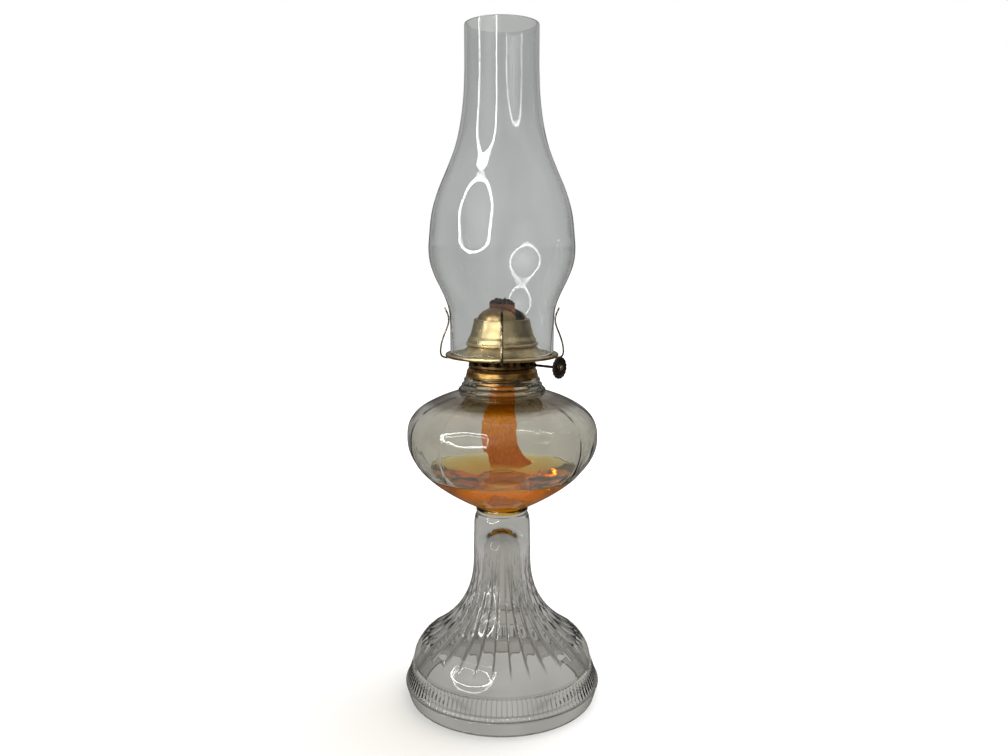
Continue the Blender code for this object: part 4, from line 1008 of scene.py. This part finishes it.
def make_chimney(finishes):
    lip = CHIMNEY_WALL / 2
    top = CHIMNEY_BASE + CHIMNEY_HEIGHT
    heights = [(CHIMNEY_HEIGHT - lip) * share for share in spread(100)][1:-1]
    outer = [(chimney_radius(height), CHIMNEY_BASE + height) for height in heights]
    inner = [(radius - CHIMNEY_WALL, height) for radius, height in outer[::2]]
    mouth = arc(CHIMNEY_NECK_RADIUS - lip, top - lip, lip, 0, 180, 9)
    foot = arc(CHIMNEY_BASE_RADIUS - lip, CHIMNEY_BASE + lip, lip, 180, 360, 9)
    made = turned("chimney_blown", foot + outer + mouth + inner[::-1], CHIMNEY_COLUMNS, 70.0)
    dress(made, finishes["chimney"], "chimney", "chimney_glass", "chimney")


# Metal pieces


def threaded(radius, low, high, count):
    """(reach, height) points up a rolled thread, whose crests lie at a radius."""

    def reach(height):
        rise = height / THREAD_PITCH
        return lambda turn: radius - THREAD_DEPTH * (0.5 - 0.5 * math.cos(2 * math.pi * (rise - turn)))

    heights = [blend(low, high, share) for share in spread(count)]
    return [(reach(height), height) for height in heights]


def make_collar(finishes):
    crest = COLLAR_BORE_RADIUS + THREAD_DEPTH
    rounding = COLLAR_ROUNDING
    waist = (COLLAR_BASE + COLLAR_TOP) / 2
    outline = threaded(crest, SLEEVE_FOOT, COLLAR_TOP - rounding * 2, COLLAR_THREAD_ROWS)
    outline += [(COLLAR_BORE_RADIUS, COLLAR_TOP - rounding), (COLLAR_BORE_RADIUS + COLLAR_STEP, COLLAR_TOP)]
    outline += arc(COLLAR_TOP_RADIUS - rounding, COLLAR_TOP - rounding, rounding, 90, 20, 5)
    for share in spread(8)[1:]:
        reach = blend(COLLAR_TOP_RADIUS + 0.0002, COLLAR_WAIST_RADIUS, math.sin(share * math.pi / 2))
        outline.append((reach, blend(COLLAR_TOP - 0.0010, waist, share)))
    outline += [(COLLAR_WAIST_RADIUS + out, COLLAR_BASE + up) for out, up in COLLAR_FOOT_STEPS]
    outline += arc(COLLAR_BASE_RADIUS - rounding, COLLAR_BASE + rounding, rounding, 70, -90, 7)
    outline.append((COLLAR_BASE_RADIUS - COLLAR_SHEET, COLLAR_BASE + COLLAR_STEP))
    outline.append((COLLAR_WAIST_RADIUS - COLLAR_SHEET, waist))
    outline.append((COLLAR_TOP_RADIUS - COLLAR_SHEET, COLLAR_TOP - 0.0013))
    outline.append((COLLAR_TOP_RADIUS - COLLAR_SHEET, COLLAR_TOP - COLLAR_SHEET))
    outline.append((COLLAR_SLEEVE_RADIUS, COLLAR_TOP - COLLAR_SHEET))
    outline.append((COLLAR_SLEEVE_RADIUS, SLEEVE_FOOT))
    dress(turned("collar_spun", outline), finishes["collar"], "lamp_base", "collar_brass", "collar")


def make_thread_shell(finishes):
    outline = [
        (SHELL_BORE_RADIUS, COLLAR_TOP),
        (SHELL_BORE_RADIUS, THREAD_FOOT + SHEET),
        (SHELL_BORE_RADIUS - SHEET, THREAD_FOOT + SHEET),
        (SHELL_BORE_RADIUS - SHEET, THREAD_FOOT),
        (THREAD_RADIUS - SHEET / 2, THREAD_FOOT),
    ]
    outline += threaded(THREAD_RADIUS, THREAD_FOOT + SHEET * 0.7, COLLAR_TOP - 0.0004, SHELL_THREAD_ROWS)
    outline.append((THREAD_RADIUS - 0.0001, COLLAR_TOP))
    made = turned("thread_shell_rolled", outline)
    dress(made, finishes["plate"], "burner_thread", "burner_brass", "thread_shell")


def spindle_place():
    middle = WICK_ACROSS * SPINDLE_OFFSET + Vector((0, 0, SPINDLE_HEIGHT))
    return Matrix.Translation(middle) @ WICK_ALONG.to_track_quat("Z", "Y").to_matrix().to_4x4()


def in_window(point, low, high):
    """Whether a point of the basket's wall lies in one of its round-cornered windows."""
    share = (point.z - low) / (high - low)
    if not 0 < share < 1:
        return False
    corner = not BASKET_CORNER_SHARE < share < 1 - BASKET_CORNER_SHARE
    turn = (math.atan2(point.y, point.x) - WICK_ANGLE) / (2 * math.pi) % 1
    return abs(turn * BASKET_WINDOW_COUNT % 1 - 0.5) < BASKET_WINDOW_SHARES[corner]


def make_basket(finishes):
    """The pierced wall: a pressed sheet with a row of windows and a hole for the spindle's sleeve."""
    foot = BURNER_BASE + SHEET / 2
    low = BURNER_BASE + BASKET_WINDOW_LIFT
    high = low + BASKET_WINDOW_HEIGHT
    top = BASKET_TOP - 0.0004
    bend = BASKET_BEND
    outline = [(SHELL_BORE_RADIUS + 0.0002, foot), (BASKET_FOOT_RADIUS - bend, foot)]
    outline += arc(BASKET_FOOT_RADIUS - bend, foot + bend, bend, -90, 0, 4)[1:]
    shares = (0.0, BASKET_CORNER_SHARE, 0.5, 1 - BASKET_CORNER_SHARE, 1.0)
    for height in (*[blend(low, high, share) for share in shares], top):
        share = (height - foot) / (top - foot)
        outline.append((blend(BASKET_WALL_RADIUS, BASKET_TOP_RADIUS, share) - SHEET / 2, height))
    made = surface("air_basket_pierced", turned_rows(BASKET_COLUMNS, outline, WICK_ANGLE), False)
    mesh = bmesh.new()
    mesh.from_mesh(made.data)
    gone = [face for face in mesh.faces if in_window(face.calc_center_median(), low, high)]
    bmesh.ops.delete(mesh, geom=gone, context="FACES")
    mesh.to_mesh(made.data)
    mesh.free()
    thick = made.modifiers.new("sheet", "SOLIDIFY")
    thick.thickness = SHEET * 0.9
    thick.offset = 0.0
    settled(made)
    mesh = bmesh.new()
    reach = math.sqrt(BASKET_WALL_RADIUS ** 2 - SPINDLE_OFFSET ** 2)
    bmesh.ops.create_cone(
        mesh, cap_ends=True, segments=32, radius1=SLEEVE_BORE_RADIUS, radius2=SLEEVE_BORE_RADIUS,
        depth=SLEEVE_BORE_LENGTH, matrix=spindle_place() @ Matrix.Translation((0, 0, reach)),
    )
    cut_away(made, mesh)
    dress(made, finishes["basket"], "burner", "burner_brass", "air_basket")


def gallery_top(radius):
    span = GALLERY_FLOOR_RADIUS - GALLERY_INNER_RADIUS
    share = min((radius - GALLERY_INNER_RADIUS) / span, 1)
    bump = GALLERY_BEAD_HEIGHT * math.exp(-(((radius - GALLERY_BEAD_RADIUS) / GALLERY_BEAD_WIDTH) ** 2))
    return GALLERY_FLOOR + GALLERY_RISE * (1 - share) ** GALLERY_DISH_POWER + bump


def make_gallery(finishes):
    roll_middle = GALLERY_RADIUS - GALLERY_ROLL_RADIUS
    radii = [blend(GALLERY_INNER_RADIUS, roll_middle, share) for share in spread(44)][:-1]
    upper = [(radius, gallery_top(radius)) for radius in radii]
    lower = [(radius, height - SHEET) for radius, height in upper]
    roll = arc(roll_middle, GALLERY_FLOOR - GALLERY_ROLL_DROP, GALLERY_ROLL_RADIUS, 90, -190, 16)
    made = turned("gallery_spun", upper + roll + lower[::-1])
    dress(made, finishes["brass"], "burner", "burner_brass", "gallery")


def cap_point(radius, base, degrees):
    angle = math.radians(degrees)
    return radius * math.cos(angle), base + CAP_HEIGHT * math.sin(angle)


def make_deflector(finishes):
    bead = BELL_BEAD_HEIGHT / 2
    bead_width = BELL_BEAD_RADIUS - BELL_BASE_RADIUS
    outer = [(BELL_BASE_RADIUS, DEFLECTOR_BASE)]
    for share in spread(9):
        angle = math.radians(blend(-80, 80, share))
        height = DEFLECTOR_BASE + bead + bead * math.sin(angle) * 0.95
        outer.append((BELL_BASE_RADIUS + bead_width * math.cos(angle), height))
    for share in reversed(spread(25)):
        reach = blend(BELL_TOP_RADIUS, BELL_BASE_RADIUS, interpolate(BELL_SHARES, share))
        outer.append((reach, blend(CAP_BASE, DEFLECTOR_BASE + BELL_BEAD_HEIGHT, share)))
    inner = [(radius - SHEET, height) for radius, height in outer[10:-1:2]]
    outer.append((BELL_TOP_RADIUS - 0.0005, CAP_BASE + 0.0003))
    outer += [cap_point(CAP_RADIUS, CAP_BASE, degrees) for degrees in range(0, 90, 6)]
    inner_cap = [cap_point(CAP_RADIUS - SHEET, CAP_BASE - SHEET, degrees) for degrees in range(0, 90, 9)]
    outline = inner_cap[::-1] + inner[::-1] + [(BELL_BASE_RADIUS - SHEET, DEFLECTOR_BASE)] + outer
    rows = [[(0.0, 0.0, CAP_BASE - SHEET + CAP_HEIGHT)]]
    rows += turned_rows(METAL_COLUMNS, outline)
    rows.append([(0.0, 0.0, CAP_BASE + CAP_HEIGHT)])
    made = surface("deflector_spun", rows, False)
    height = CAP_BASE + CAP_HEIGHT + 0.002 - BLAZE_SLOT_SILL
    place = Matrix.Translation((0, 0, BLAZE_SLOT_SILL + height / 2)) @ Matrix.Rotation(WICK_ANGLE, 4, "Z")
    size = Matrix.Diagonal((CAP_RADIUS * 2.2, BLAZE_SLOT_WIDTH, height, 1.0))
    mesh = bmesh.new()
    bmesh.ops.create_cube(mesh, size=1.0, matrix=place @ size)
    cut_away(made, mesh)
    dress(made, finishes["heated"], "burner", "burner_brass", "deflector")


def prong_stations(count):
    """(radius, height) points up a prong, smoothly through the CAD model's own."""
    bow = GALLERY_RADIUS + PRONG_BOW
    corners = [(GALLERY_RADIUS - PRONG_TAB, 0.0), (GALLERY_RADIUS - 0.0004, 0.0)]
    for radius_share, height_share in PRONG_SHARES:
        corners.append((blend(PRONG_CONTACT_RADIUS, bow, radius_share), PRONG_HEIGHT * height_share))
    lengths = [0.0]
    for first, second in zip(corners, corners[1:]):
        lengths.append(lengths[-1] + math.dist(first, second))
    radii = [(length, corner[0]) for length, corner in zip(lengths, corners)]
    heights = [(length, corner[1]) for length, corner in zip(lengths, corners)]
    places = [lengths[-1] * share for share in spread(count)]
    return [Vector((interpolate(radii, place), interpolate(heights, place))) for place in places]


def rounded(wave, power):
    return math.copysign(abs(wave) ** power, wave)


def make_prong(name, azimuth_deg, finishes):
    """A sprung strip with rounded edges and a crowned outer face, narrower at its tip."""
    stations = prong_stations(PRONG_ROWS)
    turn = Matrix.Rotation(math.radians(azimuth_deg), 4, "Z")
    last = len(stations) - 1
    rows = []
    for index, middle in enumerate(stations):
        along = (stations[min(index + 1, last)] - stations[max(index - 1, 0)]).normalized()
        taper = 1.0 - PRONG_TAPER * ease((index / last - 1 + PRONG_TIP_SHARE) / PRONG_TIP_SHARE)
        row = []
        for step in range(PRONG_COLUMNS):
            angle = 2 * math.pi * step / PRONG_COLUMNS
            side = rounded(math.cos(angle), PRONG_EDGE_POWER) * PRONG_WIDTH / 2 * taper
            deep = rounded(math.sin(angle), PRONG_FACE_POWER) * PRONG_THICKNESS / 2
            height = PRONG_ROOT + middle.y - along.x * deep
            row.append(turn @ Vector((middle.x + along.y * deep, side, height)))
        rows.append(row)
    made = surface(f"prong_{name}_sprung", capped(rows), False, 60.0)
    dress(made, finishes["prong"], f"prong_{name}", "prong_brass", f"prong_{name}")


def make_thumbwheel(finishes):
    """The scalloped wheel, dished between its rim and its boss."""
    base = THUMBWHEEL_BASE
    face = base + THUMBWHEEL_THICKNESS
    rim = THUMBWHEEL_RADIUS
    boss = THUMBWHEEL_BOSS_RADIUS
    boss_top = face + THUMBWHEEL_BOSS_HEIGHT
    edge = THUMBWHEEL_ROUNDING

    def scalloped(radius):
        return lambda turn: radius - SCALLOP_DEPTH * (radius / rim) * groove(turn * THUMBWHEEL_SCALLOPS)

    outline = [(THUMBWHEEL_BORE, base), (rim - 0.0014, base)]
    edges = arc(rim - edge, base + edge, edge, -90, 0, 5) + arc(rim - edge, face - edge, edge, 0, 90, 5)
    outline += [(scalloped(radius), height) for radius, height in edges]
    outline += [(rim - 0.0018, face), (rim - 0.0022, face - THUMBWHEEL_DISH)]
    outline += [(boss + THUMBWHEEL_DISH, face - THUMBWHEEL_DISH), (boss, boss_top - THUMBWHEEL_BEVEL)]
    outline += [(boss - THUMBWHEEL_BEVEL, boss_top), (THUMBWHEEL_BORE, boss_top)]
    place = spindle_place()
    rows = turned_rows(THUMBWHEEL_SCALLOPS * 12, outline)
    made = surface("thumbwheel_scalloped", [[place @ Vector(point) for point in row] for row in rows], True)
    dress(made, finishes["dark"], "wick_raiser", "dark_metal", "thumbwheel")


# Wick


def wick_station(share):
    """Where the wick's tail is, which way it faces and how far its edge droops, down its length."""
    swing = ease(share / WICK_TURN_SHARE)
    sway = WICK_SWAY * math.sin(math.pi * share)
    left, back = WICK_SWAY_SHARES
    centre = Vector((WICK_END_SWEEP * share ** 4 - sway * left, sway * back, 0))
    return centre, WICK_ANGLE * (1 - swing), -WICK_END_DROP * share ** 3


def wick_section(count):
    """The ribbon's section, once round: (across, through, outward)."""
    points = []
    half_depth = WICK_THICKNESS / 2
    straight = WICK_WIDTH / 2 - half_depth
    for side in (-1, 1):
        for share in spread(count)[:-1]:
            points.append((side * blend(-straight, straight, share), side * half_depth, (0.0, float(side))))
        for share in spread(5)[:-1]:
            angle = math.radians(90 - 180 * share)
            x = side * (straight + half_depth * math.cos(angle))
            y = side * half_depth * math.sin(angle)
            points.append((x, y, (side * math.cos(angle), side * math.sin(angle))))
    return points


def weave(x, down):
    rib = 0.5 + 0.5 * math.cos(2 * math.pi * x / WEAVE_RIB)
    shift = math.pi * math.floor(x / WEAVE_RIB + 0.5)
    pick = 0.5 + 0.5 * math.cos(2 * math.pi * down / WEAVE_PICK + shift)
    return WEAVE_RELIEF * (rib * pick - 0.5)


def wick_row(section, base, centre, facing, droop, swell):
    """The wick's points at one height: woven, and lumpy and ragged where it is charred."""
    down = WICK_TOP - base
    charred = ease((CHAR_HEIGHT - down) / CHAR_HEIGHT * 1.4)
    round_off = math.sqrt(max(1 - (1 - min(down / CHAR_ROUNDING, 1)) ** 2, 0.0))
    swell -= CHAR_NARROWING_SHARE * (1 - ease(down / (2 * CHAR_HEIGHT / 3)))
    turn = Matrix.Rotation(facing, 4, "Z")
    row = []
    for x, y, (nx, ny) in section:
        spot = Vector((x, y, down)) * CHAR_GRAIN
        lumps = CHAR_LUMPS * (noise.noise(spot) + 0.5 * noise.noise(spot * 2.1) - 0.2)
        lumps = min(lumps, CHAR_PLAY) - CHAR_ROUNDING * (1 - round_off)
        push = weave(x, down) * (1 - charred) + lumps * charred
        height = base - droop * x / (WICK_WIDTH / 2)
        peaks = noise.noise(Vector((x, y, 0.01)) * CHAR_GRAIN) - 0.5
        height += charred * (CHAR_PEAKS * peaks - CHAR_ARCH * abs(2 * x / WICK_WIDTH) ** 4)
        row.append(centre + turn @ Vector((x * swell + nx * push, y + ny * push, height)))
    return row


def make_wick(finishes):
    """The flat woven wick, straight down through its tube and then turning and swelling in the bowl."""
    section = wick_section(WICK_COLUMNS)
    rows = []
    for share in spread(WICK_STRAIGHT_ROWS):
        base = blend(WICK_TOP, WICK_TAIL_TOP, share)
        rows.append(wick_row(section, base, Vector(), WICK_ANGLE, 0.0, 1.0))
    for share in spread(WICK_TAIL_ROWS + 1)[1:]:
        swell = 1 + WICK_SWELL_SHARE * ease(share / WICK_TURN_SHARE)
        base = blend(WICK_TAIL_TOP, WICK_END, share)
        rows.append(wick_row(section, base, *wick_station(share), swell))
    made = surface("wick_woven", capped(rows), False, 75.0)
    dress(made, finishes["wick"], "wick", "wick_cotton", "wick")


def recolour(finishes):
    """Give the carried-over CAD nodes their finishes."""
    for node, finish in CARRIED_NODES.items():
        for slot in bpy.data.objects[node].material_slots:
            slot.material = finishes[finish]


# Stage, lights and camera


def stage_square(name, size):
    mesh = bmesh.new()
    bmesh.ops.create_grid(mesh, x_segments=1, y_segments=1, size=size / 2)
    return placed(name, mesh_data(name, mesh))


def stage_material(name):
    """An empty material, its nodes and the ray that meets it."""
    made = bpy.data.materials.new(name)
    made.use_nodes = True
    tree = made.node_tree
    tree.nodes.remove(tree.nodes["Principled BSDF"])
    return made, tree, add_node(tree, "LightPath").outputs


def make_floor():
    """A pale table: white with a soft shadow to the camera, and the backdrop's grey through the glass."""
    floor = stage_square("floor", FLOOR_SIZE)
    made, tree, path = stage_material("floor_pale")
    away = distance(tree)
    plain = add_node(tree, "BsdfDiffuse", {"Color": (*FLOOR_COLOUR, 1.0)}).outputs[0]
    lift = maths(tree, "MULTIPLY", path["Is Camera Ray"], ranged(tree, away, *FLOOR_LIFT))
    glow = add_node(tree, "Emission", {"Strength": lift}).outputs[0]
    both = add_node(tree, "AddShader", {0: plain, 1: glow}).outputs[0]
    grey = graded(tree, ranged(tree, away, 0.0, 1.0, 0.08, 1.2), ((0.0, TABLE_GREY), (1.0, BACKDROP_GREY)))
    through = add_node(tree, "Emission", {"Color": grey}).outputs[0]
    mirrored = add_node(tree, "Emission", {"Color": (*TABLE_GLOSS, 1.0)}).outputs[0]
    outside = mixed(tree, path["Is Glossy Ray"], both, mirrored)
    shown(tree, mixed(tree, path["Is Transmission Ray"], outside, through))
    floor.data.materials.append(made)


def behind_chimney(tree, path):
    """1 for what is seen through the chimney's four glass faces."""
    return maths(tree, "COMPARE", path["Transmission Depth"], CHIMNEY_FACES, 0.5)


def make_world():
    """White for the camera, an even grey through glass, and a plain soft studio for the rest."""
    world = bpy.data.worlds.new("studio")
    bpy.context.scene.world = world
    world.use_nodes = True
    tree = world.node_tree
    tree.nodes.clear()
    path = add_node(tree, "LightPath").outputs
    place = add_node(tree, "TexCoord").outputs["Generated"]
    height = add_node(tree, "SeparateXYZ", {"Vector": place}).outputs["Z"]
    grey = graded(tree, height, ((0.0, BACKDROP_GREY), (0.55, BACKDROP_GREY), (0.85, BACKDROP_DARK)))
    studio = graded(tree, height, ((0.0, (GLOSS_LOW,) * 3), (0.8, (GLOSS_HIGH,) * 3)))
    white = (*WHITE, 1.0)
    through = add_node(tree, "Background", {"Color": grey}).outputs[0]
    gloss = add_node(tree, "Background", {"Color": studio}).outputs[0]
    shader = add_node(tree, "Background", {"Strength": AMBIENT, "Color": white}).outputs[0]
    seen = add_node(tree, "Background", {"Strength": 1.0, "Color": white}).outputs[0]
    mirrored = maths(tree, "GREATER_THAN", path["Glossy Depth"], 0.5)
    inside = maths(tree, "MULTIPLY", behind_chimney(tree, path), mirrored)
    shader = mixed(tree, path["Is Glossy Ray"], shader, gloss)
    shader = mixed(tree, path["Is Transmission Ray"], shader, through)
    shader = mixed(tree, inside, shader, gloss)
    add_node(tree, "OutputWorld", {"Surface": mixed(tree, path["Is Camera Ray"], shader, seen)})


def reflected_only(name, kind, inputs, soft_reach=None, open_share=0.0):
    """A material that shows in reflections only, also through glass.

    With a soft reach it fades out over that distance, and shows in what stands inside the chimney.
    What stands in the open mirrors only a share of it.
    """
    made, tree, path = stage_material(name)
    seen = maths(tree, "GREATER_THAN", path["Glossy Depth"], 0.5)
    if soft_reach:
        fade = ranged(tree, distance(tree), 1.0, 0.0, 0.1 * soft_reach, soft_reach)
        seen = maths(tree, "MULTIPLY", seen, maths(tree, "MULTIPLY", fade, fade))
        outside = maths(tree, "LESS_THAN", path["Transmission Depth"], 0.5)
        share = maths(tree, "MULTIPLY_ADD", outside, open_share, behind_chimney(tree, path))
        seen = maths(tree, "MULTIPLY", seen, share)
    lit = add_node(tree, kind, inputs).outputs[0]
    shown(tree, mixed(tree, seen, transparent(tree), lit))
    return made


def set_up(made, direction, away, finish):
    """Stand a stage piece at a distance from the lamp's middle, facing it."""
    way = Vector(direction).normalized()
    made.location = STAGE_AIM + way * away
    made.rotation_euler = way.to_track_quat("Z", "Y").to_euler()
    made.data.materials.append(finish)
    made.visible_camera = False
    made.visible_diffuse = False
    made.visible_shadow = False


def make_ring_lamp():
    rows = []
    for share in spread(65)[:-1]:
        angle = 2 * math.pi * share
        row = []
        for around in spread(13)[:-1]:
            turn = 2 * math.pi * around
            reach = RING_RADIUS + RING_TUBE * math.cos(turn)
            row.append((reach * math.cos(angle), reach * math.sin(angle), RING_TUBE * math.sin(turn)))
        rows.append(row)
    finish = reflected_only("ring_lamp_glow", "Emission", {"Strength": RING_POWER})
    set_up(surface("ring_lamp", rows, True), RING_DIRECTION, RING_DISTANCE, finish)


def make_card(name, azimuth_deg, rise, size, kind, inputs, open_share):
    """A soft-edged square that the burner behind the chimney mirrors."""
    finish = reflected_only(f"{name}_face", kind, inputs, size / 2, open_share)
    angle = math.radians(azimuth_deg)
    set_up(stage_square(name, size), (math.cos(angle), math.sin(angle), rise), CARD_DISTANCE, finish)


def make_lamp(name, place, size, power):
    data = bpy.data.lights.new(name, "AREA")
    data.shape = "RECTANGLE"
    data.size, data.size_y = size
    data.energy = power
    lamp = placed(name, data)
    lamp.location = place
    lamp.rotation_euler = (STAGE_AIM - Vector(place)).to_track_quat("-Z", "Y").to_euler()
    lamp.visible_glossy = False
    lamp.visible_transmission = False


def make_camera():
    data = bpy.data.cameras.new("camera")
    data.lens = CAMERA_LENS
    data.sensor_width = SENSOR_WIDTH
    camera = placed("camera", data)
    camera.location = CAMERA_PLACE
    camera.rotation_euler = (math.radians(90 - CAMERA_PITCH_DEG), 0, 0)
    bpy.context.scene.camera = camera


def main():
    finishes = make_materials()
    make_pedestal(finishes)
    make_font(finishes)
    make_oil(finishes)
    make_chimney(finishes)
    make_collar(finishes)
    make_thread_shell(finishes)
    make_basket(finishes)
    make_gallery(finishes)
    make_deflector(finishes)
    for name, azimuth_deg in PRONG_AZIMUTHS_DEG.items():
        make_prong(name, azimuth_deg, finishes)
    make_thumbwheel(finishes)
    make_wick(finishes)
    recolour(finishes)
    make_floor()
    make_world()
    for name, row in LAMPS.items():
        make_lamp(name, *row)
    make_ring_lamp()
    for name, row in CARDS.items():
        make_card(name, *row)
    make_camera()
    bpy.context.scene.view_settings.view_transform = "Standard"


main()
